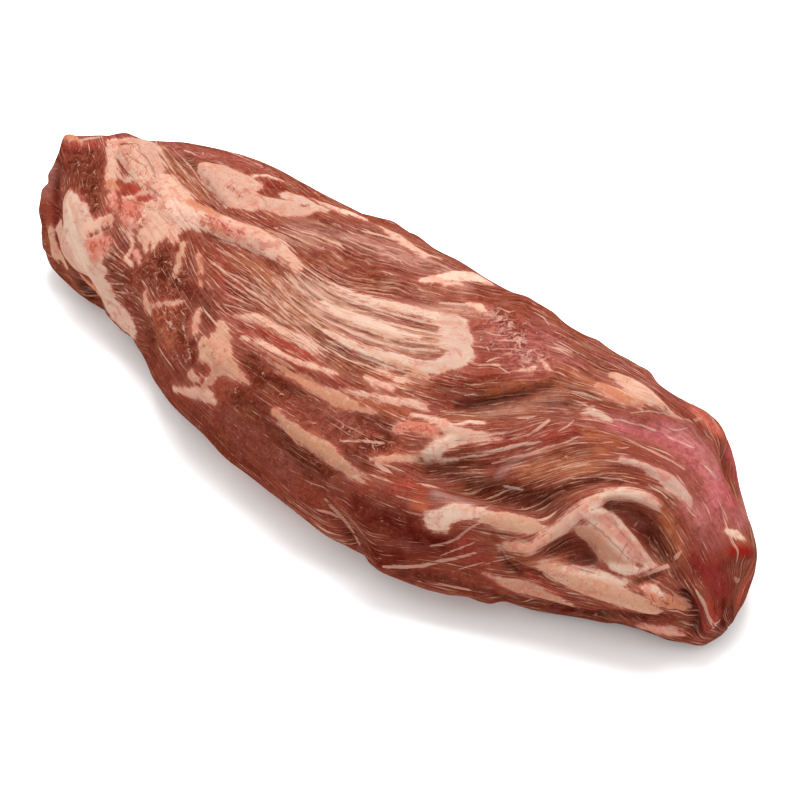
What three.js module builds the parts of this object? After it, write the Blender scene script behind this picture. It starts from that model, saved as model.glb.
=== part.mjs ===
// A whole raw cut of marbled beef, trimmed but not sliced: one long, flattened muscle that lies on its
// flat underside. The back edge runs nearly straight, the front bellies out, the left end closes in an
// upright fold and the right end in a blunt rounded face.
// Millimetres, +X along the cut, +Y to the back, +Z up.
import * as THREE from "three";
import { mergeVertices } from "three/addons/utils/BufferGeometryUtils.js";

// Driving dimensions
const LENGTH = 356;
const LEFT_END = -187;
const AROUND = 60; // faces in one ring
const RINGS = 94; // rings from end to end
const WIDEST_AT = 0.42; // height of the widest line, as a share of the section's height
const SOLE_SINK = 0.16; // how far the round section dips under the table before the table flattens it
const SOLE_SHARE = 0.35; // faces the flat sole gets, for its length, against the rest of the ring

// Sections along the cut: x, then the reach to the front and back of the spine line and the crest's height
const SECTIONS = [
  { x: -187, front: 42, back: 32, top: 54 },
  { x: -160, front: 45, back: 42, top: 60 },
  { x: -120, front: 46, back: 54, top: 63 },
  { x: -75, front: 67, back: 54, top: 64 },
  { x: -10, front: 78, back: 52, top: 66 },
  { x: 40, front: 81, back: 49, top: 67 },
  { x: 90, front: 67, back: 52, top: 63 },
  { x: 125, front: 50, back: 53, top: 58 },
  { x: 150, front: 43, back: 35, top: 51 },
  { x: 169, front: 40, back: 21, top: 44 },
];

// The ends close as a superellipse; a higher power is blunter
const END_POWER = { left: 6, right: 5 };
const TIP = { left: { y: -8, z: 30 }, right: { y: -12, z: 22 } };
const SECTION_POWER = { top: 2.25, side: 2.35 };

// Folds, seams and swellings on the body: how far each stands out (or goes in, when negative), its half
// width, and its run as x and the angle round the body in degrees, from the back edge over the top
const RELIEF = [
  { height: 7, width: 6.5, path: [[-185, 104], [-181, 88]] }, // upright fold, left end
  { height: -5, width: 6, path: [[-183, 118], [-177, 128], [-169, 147], [-162, 190]] }, // crease under it
  { height: 2.5, width: 7, path: [[-158, 134], [-144, 151], [-129, 176]] }, // fat knuckle beside it
  { height: -3.5, width: 6, path: [[-143, 182], [-137, 202]] }, // notches along the lower left edge
  { height: -3, width: 6, path: [[-103, 174], [-86, 168]] },
  { height: -2.5, width: 18, path: [[-132, 142], [-105, 136], [-80, 130]] }, // hollow of dark meat
  { height: 3.5, width: 7, path: [[-153, 86], [-129, 96], [-107, 100], [-85, 96], [-63, 92]] }, // fat band
  { height: -2.5, width: 5, path: [[-102, 107], [-91, 103], [-75, 101], [-57, 99]] }, // step at its edge
  { height: 2, width: 10, path: [[-121, 75], [-98, 76], [-73, 75]] }, // fat pad on the back shoulder
  { height: -2.5, width: 8, path: [[-5, 132], [21, 132], [45, 131]] }, // long furrow down the front
  { height: 2, width: 4, path: [[-10, 146], [9, 148], [27, 148]] },
  { height: -4, width: 8, path: [[43, 114], [57, 105], [66, 97], [80, 90]] }, // deep cleft
  { height: -5, width: 5, path: [[51, 109], [58, 104], [67, 96]] }, // its steep middle
  { height: 2.5, width: 7, path: [[42, 109], [53, 100], [61, 94], [69, 87]] }, // its lips
  { height: 3, width: 8, path: [[50, 122], [63, 113], [75, 104], [84, 95]] },
  { height: -6, width: 7, path: [[57, 134], [78, 133], [93, 130], [103, 132]] }, // valley and its lip
  { height: 4, width: 7, path: [[66, 151], [85, 146], [101, 140]] },
  { height: 5, width: 9, path: [[53, 146], [62, 143]] }, // lean lump
  { height: -4.5, width: 8, path: [[18, 159], [25, 168], [34, 173], [43, 188]] }, // crease down the belly
  { height: 3, width: 10, path: [[46, 157], [54, 170]] },
  { height: 3.5, width: 6, path: [[105, 157], [110, 142], [117, 114], [134, 104]] }, // rope of fat
  { height: -5, width: 6.5, path: [[121, 118], [130, 115], [136, 117], [143, 126]] }, // hollow inside it
  { height: -5.5, width: 8, path: [[113, 149], [123, 150]] }, // pit between rope and membrane
  { height: 3.5, width: 8, path: [[125, 134], [140, 139]] }, // membrane lobe
  { height: 4, width: 7, path: [[115, 167], [131, 172], [148, 172]] }, // fat band low at the right
  { height: -3.5, width: 5, path: [[112, 196], [132, 199], [152, 192]] },
  { height: -6, width: 6, path: [[158, 160], [163, 190]] }, // hole at the right corner
  { height: 3, width: 15, path: [[130, 86], [145, 86]] }, // round end muscle
  { height: 4, width: 7, path: [[162, 92], [164, 78]] }, // wet knob on the end face
  { height: 3, width: 6, path: [[118, 48], [129, 36]] }, // frayed back corner
  { height: 2.5, width: 6, path: [[89, 78], [104, 66], [118, 58]] }, // ridge that runs to it
  { height: -3, width: 8, path: [[76, 92], [95, 89], [111, 81]] },
  { height: -3.5, width: 5, path: [[-145, 34], [-95, 24], [-40, 33]] }, // seams along the back
  { height: -3.5, width: 5, path: [[-20, 16], [40, 27], [100, 20]] },
  { height: 2.5, width: 9, path: [[-70, 14], [-10, 34], [60, 42]] },
];

// Muscle bundles run along the cut and leave the whole surface gently uneven: two crossing sets of waves,
// each bent by a slow swing along the cut. lean tilts the sets against the upright.
const BUNDLE = { height: 0.45, across: [27, 19], along: [88, 52], swing: [1, 0.6], lean: 0.8 };

const TURN = 2 * Math.PI;

const clamp = THREE.MathUtils.clamp;
const radians = THREE.MathUtils.degToRad;

// Smooth value of one measure at x, through the sections
function measure(name, x) {
  const last = SECTIONS.length - 1;
  const at = clamp(SECTIONS.findIndex((s) => s.x > x) - 1, 0, last - 1);
  const here = x >= SECTIONS[last].x ? last - 1 : at;
  const [a, b] = [SECTIONS[here], SECTIONS[here + 1]];
  const before = SECTIONS[Math.max(here - 1, 0)];
  const after = SECTIONS[Math.min(here + 2, last)];
  const span = b.x - a.x;
  const slopeA = ((b[name] - before[name]) / (b.x - before.x)) * span;
  const slopeB = ((after[name] - a[name]) / (after.x - a.x)) * span;
  const t = clamp((x - a.x) / span, 0, 1);
  const t2 = t * t;
  const t3 = t2 * t;
  return (
    a[name] * (2 * t3 - 3 * t2 + 1) +
    slopeA * (t3 - 2 * t2 + t) +
    b[name] * (3 * t2 - 2 * t3) +
    slopeB * (t3 - t2)
  );
}

// How far the section has opened at x, from 0 at either tip to 1 in the middle
function openness(x) {
  const share = clamp((2 * (x - LEFT_END)) / LENGTH - 1, -1, 1);
  const power = share < 0 ? END_POWER.left : END_POWER.right;
  return Math.pow(1 - Math.pow(Math.abs(share), power), 1 / power);
}

const signedPower = (value, power) => Math.sign(value) * Math.pow(Math.abs(value), power);

// A point on the smooth body: x along it, and the angle round it from the back edge over the top
function bodyPoint(x, angle) {
  const open = openness(x);
  const across = Math.cos(angle);
  const up = Math.sin(angle);
  const reach = across > 0 ? measure("back", x) : measure("front", x);
  const top = measure("top", x);
  const middle = top * WIDEST_AT;
  const rise = up > 0 ? top - middle : middle + top * SOLE_SINK;
  const y = reach * signedPower(across, 2 / SECTION_POWER.side);
  const z = middle + rise * signedPower(up, 2 / SECTION_POWER.top);
  const tip = x < 0 ? TIP.left : TIP.right;
  const point = new THREE.Vector3(x, tip.y + (y - tip.y) * open, tip.z + (z - tip.z) * open);
  point.z = Math.max(point.z, 0);
  return point;
}

// One relief form's run as short straight legs on the body
function reliefLegs(form) {
  const STEPS = 10;
  const spots = [];
  for (let i = 0; i + 1 < form.path.length; i++) {
    const [from, to] = [form.path[i], form.path[i + 1]];
    for (let step = i === 0 ? 0 : 1; step <= STEPS; step++) {
      const t = step / STEPS;
      spots.push(bodyPoint(from[0] + (to[0] - from[0]) * t, radians(from[1] + (to[1] - from[1]) * t)));
    }
  }
  return spots.slice(1).map((spot, i) => new THREE.Line3(spots[i], spot));
}

const FORMS = RELIEF.map((form) => ({ ...form, legs: reliefLegs(form) }));

// How far the surface stands out from the smooth body at a point
function relief(point) {
  const swings = BUNDLE.along.map((wave, i) => BUNDLE.swing[i] * Math.sin((TURN * point.x) / wave + i));
  const bend = swings[0] + swings[1];
  const rising = (TURN * (point.y * BUNDLE.lean + point.z)) / BUNDLE.across[0];
  const falling = (TURN * (point.y * BUNDLE.lean - point.z)) / BUNDLE.across[1];
  let lift = BUNDLE.height * (Math.sin(rising + bend) + Math.sin(falling + bend + 2));
  const near = new THREE.Vector3();
  for (const form of FORMS) {
    let distance = Infinity;
    for (const leg of form.legs) {
      leg.closestPointToPoint(point, true, near);
      distance = Math.min(distance, near.distanceTo(point));
    }
    lift += form.height * Math.exp(-((distance / form.width) ** 2));
  }
  return lift;
}

// Even places along a run of points: each point's weighted distance from the one before decides
function evenPlaces(values, steps, count) {
  const run = [0];
  for (const step of steps) run.push(run[run.length - 1] + step);
  const places = [];
  let i = 0;
  for (let n = 0; n <= count; n++) {
    const goal = (run[steps.length] * n) / count;
    while (i < steps.length - 1 && run[i + 1] < goal) i++;
    const t = clamp((goal - run[i]) / Math.max(run[i + 1] - run[i], 1e-9), 0, 1);
    places.push(values[i] + (values[i + 1] - values[i]) * t);
  }
  return places;
}

// Ring places along x, evenly spaced over the profile's own length so that the blunt ends get rings too
function ringPlaces() {
  const SAMPLES = 4000;
  const PROFILE_SHARE = 0.7;
  const places = [];
  const steps = [];
  let before = null;
  for (let i = 0; i <= SAMPLES; i++) {
    const x = LEFT_END + (LENGTH * (1 - Math.cos((Math.PI * i) / SAMPLES))) / 2;
    const r = measure("front", x) * openness(x) * PROFILE_SHARE;
    if (before) steps.push(Math.hypot(x - before.x, r - before.r));
    places.push(x);
    before = { x, r };
  }
  return evenPlaces(places, steps, RINGS);
}

// Angles round one ring, evenly spaced over its length, with fewer on the flat sole
function ringAngles(x) {
  const SAMPLES = 720;
  const angles = [];
  const steps = [];
  let before = null;
  for (let i = 0; i <= SAMPLES; i++) {
    const angle = (TURN * i) / SAMPLES;
    const point = bodyPoint(x, angle);
    if (before) {
      const onSole = point.z + before.z < 1e-6;
      steps.push(point.distanceTo(before) * (onSole ? SOLE_SHARE : 1) + 1e-7);
    }
    angles.push(angle);
    before = point;
  }
  return evenPlaces(angles, steps, AROUND);
}

// Moves each corner above the sole out or in along the smooth body's normal
function addRelief(geometry) {
  const position = geometry.getAttribute("position");
  const normal = geometry.getAttribute("normal");
  const point = new THREE.Vector3();
  const outward = new THREE.Vector3();
  for (let i = 0; i < position.count; i++) {
    point.fromBufferAttribute(position, i);
    if (point.z < 1e-3) continue;
    outward.fromBufferAttribute(normal, i);
    point.addScaledVector(outward, relief(point));
    position.setXYZ(i, point.x, point.y, Math.max(point.z, 0));
  }
}

// The cut: a sphere's grid of faces, each corner moved to its place on the body, centred over the origin
function beefGeometry() {
  const places = ringPlaces();
  const angles = places.map(ringAngles);
  const geometry = new THREE.SphereGeometry(1, AROUND, RINGS);
  geometry.deleteAttribute("normal");
  geometry.deleteAttribute("uv");
  const position = geometry.getAttribute("position");
  for (let i = 0; i < position.count; i++) {
    const ring = RINGS - Math.floor(i / (AROUND + 1));
    const spot = bodyPoint(places[ring], angles[ring][i % (AROUND + 1)]);
    position.setXYZ(i, spot.x, spot.y, spot.z);
  }
  const merged = mergeVertices(geometry, 1e-3);
  merged.computeVertexNormals();
  addRelief(merged);
  merged.computeBoundingBox();
  const middle = merged.boundingBox.getCenter(new THREE.Vector3());
  merged.translate(-middle.x, -middle.y, -merged.boundingBox.min.z);
  merged.computeVertexNormals();
  return merged;
}

const beef = new THREE.Mesh(
  beefGeometry(),
  new THREE.MeshStandardMaterial({ color: 0x9c4a41, roughness: 0.45, metalness: 0 }),
);
beef.name = "beef_cut";

const cut = new THREE.Group();
cut.add(beef);

export default cut;
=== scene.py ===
# The dressed cut of raw marbled beef: its fine surface, the fat and lean that show on it, and the light.
# The surface starts as the frame's own solid, subdivided. What shows in the photograph is drawn on it as
# strokes, whose points are pixels of the photograph, with the half width after each point's place. Each
# stroke is laid on the surface in three dimensions, so it keeps its width when seen from any side.
import math

import bmesh
import bpy
import numpy as np
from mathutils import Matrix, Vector
from mathutils.bvhtree import BVHTree


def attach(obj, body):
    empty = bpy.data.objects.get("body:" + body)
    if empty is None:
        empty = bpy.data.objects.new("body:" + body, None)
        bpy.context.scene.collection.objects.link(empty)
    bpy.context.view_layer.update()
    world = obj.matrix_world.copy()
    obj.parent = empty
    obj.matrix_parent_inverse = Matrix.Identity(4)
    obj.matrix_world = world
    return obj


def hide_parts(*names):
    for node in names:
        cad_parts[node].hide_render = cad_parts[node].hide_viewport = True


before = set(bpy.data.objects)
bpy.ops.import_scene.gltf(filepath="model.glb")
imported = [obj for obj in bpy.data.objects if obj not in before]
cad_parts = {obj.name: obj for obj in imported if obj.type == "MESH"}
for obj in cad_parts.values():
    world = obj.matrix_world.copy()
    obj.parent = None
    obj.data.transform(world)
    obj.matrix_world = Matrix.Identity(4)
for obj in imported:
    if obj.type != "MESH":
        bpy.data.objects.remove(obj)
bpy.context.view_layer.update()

# The photograph's camera, and its pixels on the surface
PHOTO_SIDE = 800
AZIMUTH = math.radians(40)
ELEVATION = math.radians(45)
LENS, SENSOR = 100.0, 36.0
DISTANCE = 0.912
TARGET = np.array([0.0136, 0.0073, 0.018])
FOCAL = LENS / SENSOR * PHOTO_SIDE  # in pixels
PIXEL = DISTANCE / FOCAL  # metres of surface to a pixel, facing the camera
MM = 0.001
SEED = 11

# The studio: a white sky all round, and a soft key light above, over a pale floor
SKY_STRENGTH = 1.35
KEY_PLACE = (-0.15, 0.25, 1.1)
KEY_SIZE, KEY_POWER = 0.6, 14  # metres and watts
FLOOR_SIZE, FLOOR_SHADE = 6, 0.9
TOP_LIGHT = 1.9  # the light that a face of the cut gets from above, where 1 shows white as white
SIDE_LIGHT = 1.65  # and that an upright face gets
SHEEN = 0.010  # what the gloss adds to every colour shown
DARKEST = 0.002  # no colour reflects less

# Colours as they show in the photograph, 0 to 255
PALETTE = {
    "lean": (156, 75, 58),
    "brown": (126, 60, 45),
    "dark_brown": (106, 48, 35),
    # Used only in creases and grooves, as painted shade
    "crease_shade": (62, 22, 15),
    "rust": (142, 66, 50),
    "red": (166, 70, 58),
    "bright_red": (188, 74, 58),
    "wet_red": (176, 32, 32),
    "wet_lean": (150, 56, 50),
    "pink_lean": (206, 124, 120),
    "deep_red": (98, 34, 29),
    "plum": (174, 92, 84),
    "magenta": (212, 112, 114),
    "purple": (140, 74, 60),
    "mauve": (196, 148, 138),
    "amber": (186, 110, 76),
    "orange": (194, 104, 66),
    "lump_orange": (220, 112, 72),
    "olive": (170, 102, 74),
    "fan_amber": (220, 164, 138),
    "cream": (232, 184, 160),
    "white_fat": (230, 196, 174),
    "bright_fat": (250, 206, 184),
    "grey_fat": (216, 180, 160),
    "pink_fat": (226, 152, 134),
    "raw_pink": (212, 120, 104),
    "beige_fat": (208, 158, 130),
    "pad_fat": (215, 170, 149),
    "stripe_fat": (186, 136, 108),
    "membrane_fat": (188, 134, 120),
    # Pale band colour, partly fat and partly painted sheen
    "silver": (204, 164, 150),
    "deep_plum": (98, 36, 32),
    # Partly the lip's red, partly painted highlight
    "lip_red_and_highlight": (255, 132, 106),
    "rim_pink": (206, 96, 98),
    "pale_lean": (208, 142, 126),
    "tan_fat": (190, 138, 114),
    "amber_fat": (206, 132, 98),
    "ochre_fat": (202, 142, 110),
}

# What the lean's colour is multiplied by: between its fibres, in milky mottles, and in the end everywhere
DEEPER = (0.46, 0.29, 0.24, 1)
MILKIER = (1.90, 1.80, 1.64, 1)
LEAN_TRIM = (0.88, 0.93, 0.98, 1)

# Fibres run along these lines, left to right
FIBRES = {
    "left_lobe": [(52, 168), (46, 195), (49, 225), (57, 252)],
    "left_face": [(66, 165), (62, 200), (66, 240), (85, 275)],
    "left_patch": [(80, 150), (95, 185), (110, 225), (125, 262)],
    "amber_band": [(152, 140), (175, 170), (200, 195), (225, 213), (250, 225)],
    "top_strip": [(180, 148), (220, 155), (260, 168), (300, 190), (345, 215)],
    "back_muscle": [(249, 210), (284, 221), (312, 226), (340, 234), (370, 239), (399, 242), (430, 252),
        (460, 262)],
    "back_muscle_mid": [(286, 238), (312, 240), (340, 246), (370, 249), (399, 252), (430, 262), (470, 272)],
    "back_muscle_low": [(280, 248), (300, 258), (328, 264), (352, 270), (380, 273), (410, 277), (440, 286),
        (480, 290), (520, 298), (550, 312)],
    "fan_top": [(288, 252), (308, 276), (328, 289), (352, 298), (376, 301), (399, 304), (430, 311),
        (475, 314)],
    "fan_middle": [(266, 260), (284, 284), (304, 300), (324, 312), (352, 320), (399, 332), (446, 340)],
    "fan_low": [(262, 285), (285, 312), (310, 335), (345, 352), (390, 366), (430, 378)],
    "olive_area": [(215, 245), (240, 258), (262, 274), (285, 300)],
    "left_red": [(215, 272), (260, 294), (300, 322), (340, 345)],
    "red_high": [(222, 300), (245, 310), (280, 325), (320, 345), (360, 365), (410, 385), (460, 398)],
    "red_low": [(240, 322), (270, 336), (310, 354), (350, 376), (400, 396), (440, 406)],
    "red_edge": [(240, 345), (275, 365), (310, 385), (350, 404), (400, 416)],
    "dark_left": [(104, 262), (118, 264), (134, 272)],
    "dark_left_low": [(108, 284), (124, 286), (140, 293)],
    "dark_middle": [(150, 245), (158, 270), (166, 300), (176, 330)],
    "dark_right": [(178, 245), (182, 270), (192, 300), (206, 330)],
    "dark_low": [(172, 335), (186, 362), (206, 395), (232, 425)],
    "left_edge": [(105, 300), (130, 325), (150, 345), (180, 390), (215, 430), (260, 470), (310, 515)],
    "front_dark": [(200, 330), (225, 370), (250, 400), (280, 430), (310, 460)],
    "long_stripe": [(274, 414), (307, 441), (342, 463), (372, 484)],
    "front_plum": [(300, 395), (340, 425), (380, 448), (420, 460), (480, 456), (540, 442)],
    "under_cleft": [(440, 418), (480, 417), (520, 408), (560, 398), (600, 404), (650, 414)],
    "arch": [(480, 446), (520, 438), (560, 420), (600, 424), (640, 434), (680, 450), (712, 485)],
    "arch_low": [(450, 472), (500, 474), (540, 464), (590, 456), (640, 466), (680, 486), (694, 512)],
    "valley": [(480, 500), (540, 494), (580, 482), (620, 480), (652, 488), (676, 508)],
    "rope": [(528, 553), (560, 528), (598, 499), (640, 496), (664, 510), (674, 540), (690, 575)],
    "end_muscle": [(650, 420), (690, 434), (716, 462), (732, 500), (742, 540)],
    "end_low": [(690, 520), (706, 556), (714, 590), (712, 622)],
    "back_edge": [(560, 330), (600, 352), (640, 375), (680, 402), (706, 418)],
    "shoulder": [(480, 330), (520, 336), (560, 348), (600, 372), (650, 396)],
    "belly": [(330, 480), (370, 505), (410, 530), (460, 535), (500, 545)],
    "bottom": [(370, 560), (430, 572), (500, 590), (560, 602), (620, 612), (690, 632)],
    "low_band": [(500, 560), (553, 572), (600, 586), (640, 602), (684, 612)],
}

# Fat that stands clear of the lean, and some painted highlights and sheen drawn the same way: tint, then the
# stroke's points as (x, y, half width)
FAT = {
    "tip": ("amber_fat", [(68, 134, 3), (72, 138, 5), (79, 142, 3)]),
    "tip_strip": ("cream", [(80, 141, 1.5), (90, 138, 2.2), (101, 137, 1.2)]),
    "left_pad": ("grey_fat", [(66, 199, 7), (69, 209, 13), (71, 220, 19), (74, 235, 24), (78, 250, 23),
        (86, 262, 19), (94, 274, 13), (101, 286, 10), (108, 298, 10), (117, 310, 11), (130, 326, 9)]),
    "left_pad_light": ("white_fat", [(68, 208, 7), (69, 225, 9), (73, 245, 9), (84, 262, 6)]),
    "left_rim": ("beige_fat", [(51, 230, 4), (53, 243, 7), (58, 254, 8), (66, 264, 5)]),
    "left_pad_edge": ("pad_fat", [(60, 228, 5), (62, 242, 7), (69, 256, 8)]),
    "left_rim_low": ("amber_fat", [(76, 270, 3), (88, 282, 4), (98, 292, 3)]),
    "pink_tongue": ("cream", [(88, 231, 8), (100, 226, 9), (109, 221, 7)]),
    "pink_tongue_low": ("pink_fat", [(104, 243, 8), (96, 252, 8), (92, 243, 6)]),
    "column": ("cream", [(114, 143, 6), (112, 156, 5), (112, 168, 6), (111, 180, 6)]),
    "end_fill": ("cream", [(118, 150, 6), (124, 160, 5), (130, 172, 5), (134, 180, 3)]),
    "end_fill_b": ("pad_fat", [(118, 172, 4), (126, 180, 3.5), (136, 179, 3.5)]),
    "end_gap": ("pink_fat", [(136, 196, 2.4), (148, 191, 3.4), (158, 188, 4)]),
    "end_bridge": ("cream", [(112, 200, 4), (122, 199, 3), (134, 199, 3)]),
    "end_bridge_b": ("cream", [(150, 190, 3), (158, 196, 3), (164, 202, 4)]),
    "column_foot": ("amber_fat", [(110, 184, 5), (116, 190, 4)]),
    "column_low": ("pink_fat", [(112, 196, 4), (114, 206, 5), (118, 214, 5)]),
    "end_top": ("pad_fat", [(126, 141, 5), (138, 142, 9), (148, 147, 10), (154, 158, 8), (158, 169, 6)]),
    "end_band": ("pad_fat", [(124, 150, 9), (132, 160, 12), (142, 170, 14), (150, 182, 12), (156, 190, 8)]),
    "end_blush": ("cream", [(132, 152, 3), (138, 164, 5), (146, 178, 6)]),
    "end_low": ("raw_pink", [(124, 206, 8), (138, 212, 11), (130, 220, 8)]),
    "end_low_red": ("pink_fat", [(120, 212, 4), (130, 216, 5), (140, 222, 5)]),
    "band": ("cream", [(166, 180, 9), (172, 196, 15), (186, 211, 17), (206, 219, 13), (228, 228, 12),
        (250, 236, 13), (270, 246, 12), (284, 255, 7), (300, 268, 3)]),
    "band_left": ("cream", [(146, 216, 10), (158, 212, 14), (166, 222, 15)]),
    "band_left_blush": ("cream", [(148, 208, 7), (158, 204, 6)]),
    "band_left_low": ("cream", [(146, 234, 9), (158, 232, 10), (174, 230, 8)]),
    "band_pink": ("pink_fat", [(204, 221, 4), (222, 228, 5), (242, 235, 4)]),
    "band_orange": ("amber_fat", [(192, 203, 4), (206, 210, 4), (218, 216, 3)]),
    "band_white": ("bright_fat", [(170, 206, 7), (186, 216, 9), (206, 222, 6)]),
    "band_tooth_a": ("cream", [(146, 238, 6), (146, 250, 2.6)]),
    "band_tooth_b": ("cream", [(156, 238, 5), (152, 250, 1.5)]),
    "band_tooth_c": ("cream", [(170, 236, 4), (176, 242, 1.5)]),
    "dark_strip_a": ("cream", [(120, 228, 1.2), (130, 236, 2), (133, 248, 2), (126, 258, 2.4),
        (134, 268, 1.5)]),
    "back_pad": ("pad_fat", [(203, 168, 6), (213, 176, 11), (226, 187, 15), (240, 197, 15), (252, 202, 11),
        (268, 204, 9), (284, 207, 11), (300, 207, 11), (311, 210, 4)]),
    "back_pad_top": ("pad_fat", [(204, 164, 4), (220, 168, 7), (236, 178, 9), (254, 186, 8)]),
    "back_pad_right": ("grey_fat", [(287, 197, 6), (300, 199, 5), (314, 206, 4), (326, 210, 2)]),
    "back_pad_rim": ("white_fat", [(255, 176, 2.4), (268, 176, 2.6), (280, 180, 1.5)]),
    "top_line_a": ("white_fat", [(184, 150, 0.9), (196, 155, 1.2), (206, 158, 0.9)]),
    "top_line_b": ("pink_fat", [(222, 149, 1.4), (240, 156, 1.6), (262, 166, 1)]),
    "back_strip": ("pink_fat", [(312, 199, 2), (330, 208, 2.5), (350, 214, 2), (372, 224, 1.5)]),
    "back_strip_b": ("bright_fat", [(324, 204, 2.4), (338, 210, 4.6), (350, 214, 4.6), (366, 220, 2.4)]),
    "back_cream": ("cream", [(380, 227, 2), (395, 236, 4), (409, 246, 5.5), (424, 255, 4.5),
        (440, 259, 2)]),
    "back_cream_left": ("cream", [(362, 231, 1.2), (380, 235, 2), (396, 240, 2)]),
    "shoulder_patch": ("bright_fat", [(424, 280, 3), (440, 279, 5), (458, 276, 7.5), (474, 277, 6),
        (488, 283, 3)]),
    "shoulder_tail": ("cream", [(447, 285, 3), (460, 284, 2)]),
    "fan_a": ("white_fat", [(332, 287, 2), (360, 297, 3.6), (380, 303, 4.4), (410, 311, 5.6), (440, 318, 7),
        (460, 324, 7)]),
    "fan_b": ("white_fat", [(322, 302, 2), (340, 311, 5), (355, 318, 6.5), (372, 325, 7), (392, 331, 6),
        (415, 337, 2.4)]),
    "fan_c": ("white_fat", [(326, 331, 2.4), (344, 342, 5), (360, 348, 6), (380, 355, 7), (403, 362, 7.5),
        (425, 368, 8)]),
    "fan_pad": ("grey_fat", [(450, 320, 8), (454, 332, 11), (457, 344, 11), (463, 354, 10), (452, 362, 10),
        (436, 368, 8), (420, 367, 6)]),
    "fan_horn": ("cream", [(470, 305, 3), (481, 308, 4.5), (486, 313, 2)]),
    "fan_edge": ("cream", [(440, 303, 1.5), (456, 304, 2), (470, 305, 2)]),
    "fan_rags_a": ("cream", [(366, 378, 2), (378, 384, 4), (392, 388, 2)]),
    "fan_rags_b": ("cream", [(380, 371, 1.5), (398, 379, 3), (414, 386, 1.5)]),
    "fan_rags_c": ("beige_fat", [(392, 364, 2), (410, 370, 3), (428, 378, 1.5)]),
    "groove_line_a": ("cream", [(340, 388, 1.2), (360, 393, 2.2), (385, 399, 3), (405, 402, 3),
        (424, 406, 1.5)]),
    "groove_line_b": ("cream", [(402, 401, 1.5), (416, 407, 2), (430, 411, 1)]),
    "long_stripe": ("stripe_fat", [(274, 411, 3), (286, 424, 4.5), (300, 437, 6), (317, 446, 7),
        (331, 455, 7), (341, 464, 5), (350, 473, 3), (362, 480, 2)]),
    "mid_patch": ("beige_fat", [(221, 324, 2.5), (219, 337, 8), (215, 350, 14), (220, 361, 12),
        (230, 370, 7), (240, 377, 4), (248, 382, 1.5)]),
    "mid_patch_left": ("beige_fat", [(204, 341, 4), (205, 354, 7)]),
    "low_patch": ("pad_fat", [(174, 389, 1.5), (186, 392, 3), (198, 393, 5), (208, 396, 6), (214, 402, 3)]),
    "low_patch_up": ("beige_fat", [(191, 375, 4), (199, 380, 2.5)]),
    "low_patch_grey": ("tan_fat", [(204, 388, 3), (212, 378, 4), (215, 369, 3)]),
    "dark_streak_a": ("beige_fat", [(177, 271, 3), (180, 256, 3.5), (184, 243, 2)]),
    "dark_streak_b": ("amber_fat", [(201, 284, 1.5), (200, 268, 2.5), (199, 256, 2)]),
    "dark_fleck_a": ("beige_fat", [(145, 294, 2.5), (147, 306, 4), (150, 312, 2)]),
    "dark_fleck_b": ("tan_fat", [(150, 306, 2.4), (165, 304, 1.8), (182, 302, 1.8)]),
    "dark_fleck_c": ("beige_fat", [(194, 334, 2), (196, 320, 2.8), (199, 310, 1.2)]),
    "dark_fleck_d": ("pink_fat", [(136, 252, 3), (140, 262, 2)]),
    "red_streak_a": ("cream", [(241, 317, 2), (255, 317, 3), (270, 324, 2.8), (286, 332, 2),
        (309, 340, 1.2)]),
    "red_streak_b": ("cream", [(245, 337, 2.5), (262, 345, 3.2), (280, 354, 2.8), (300, 362, 2.2),
        (320, 368, 1.8), (336, 375, 1.2)]),
    "red_streak_c": ("amber_fat", [(262, 357, 1.6), (276, 363, 2.4), (290, 373, 4), (305, 382, 4),
        (320, 389, 4)]),
    "red_streak_e": ("ochre_fat", [(286, 371, 2), (304, 380, 3.5), (322, 391, 4.5), (336, 399, 6),
        (350, 405, 5.5), (366, 410, 3), (374, 413, 1.5)]),
    "red_streak_d": ("cream", [(294, 335, 1.2), (306, 345, 2.8), (318, 354, 1.6)]),
    "plum_mark_a": ("beige_fat", [(340, 441, 1), (362, 441, 1.4), (384, 443, 1.2)]),
    "plum_mark_b": ("beige_fat", [(372, 460, 1.5), (395, 458, 3), (418, 457, 2)]),
    "plum_mark_c": ("beige_fat", [(376, 463, 1.6), (385, 470, 2.2), (393, 475, 1.2)]),
    "tee": ("pad_fat", [(443, 424, 3.5), (455, 433, 7.5), (470, 435, 5.5), (485, 437, 2.8),
        (500, 438, 0.8)]),
    "tee_foot": ("white_fat", [(450, 441, 6), (438, 447, 7.5), (428, 455, 6), (442, 460, 3),
        (458, 459, 1.2)]),
    "tee_pink": ("raw_pink", [(397, 429, 3), (408, 426, 5), (420, 427, 5.5), (434, 431, 4)]),
    "tee_rim": ("cream", [(404, 418, 1.5), (418, 416, 2.6), (434, 420, 3), (446, 424, 3)]),
    "bright_line": ("cream", [(460, 458, 0.8), (480, 455, 1.5), (500, 450, 1.9), (520, 445, 2),
        (542, 442, 1)]),
    "pink_line": ("pink_fat", [(492, 464, 0.7), (522, 457, 1), (548, 449, 1), (570, 441, 0.8)]),
    "white_bits": ("white_fat", [(459, 425, 1.2), (470, 422, 2.4), (481, 423, 1.5)]),
    "white_bits_b": ("beige_fat", [(517, 418, 1), (527, 418, 1.8), (536, 416, 1.2)]),
    "white_dash": ("white_fat", [(503, 486, 0.9), (512, 488, 1.5), (523, 490, 0.9)]),
    "lump_cream": ("white_fat", [(427, 516, 3.5), (435, 523, 8), (444, 527, 5)]),
    "lump_cream_wedge": ("white_fat", [(434, 519, 8), (450, 515, 8), (466, 512, 6), (480, 512, 4)]),
    "lump_cream_top": ("white_fat", [(436, 513, 4), (455, 509, 5), (475, 511, 4.5), (492, 514, 3)]),
    "yellow_lump": ("beige_fat", [(484, 518, 3.5), (500, 521, 8), (515, 522, 9), (530, 524, 7),
        (539, 528, 3.5)]),
    "thin_curve": ("pink_fat", [(430, 546, 0.8), (445, 544, 1.1), (458, 538, 1.1), (470, 528, 1),
        (480, 523, 0.8)]),
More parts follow.
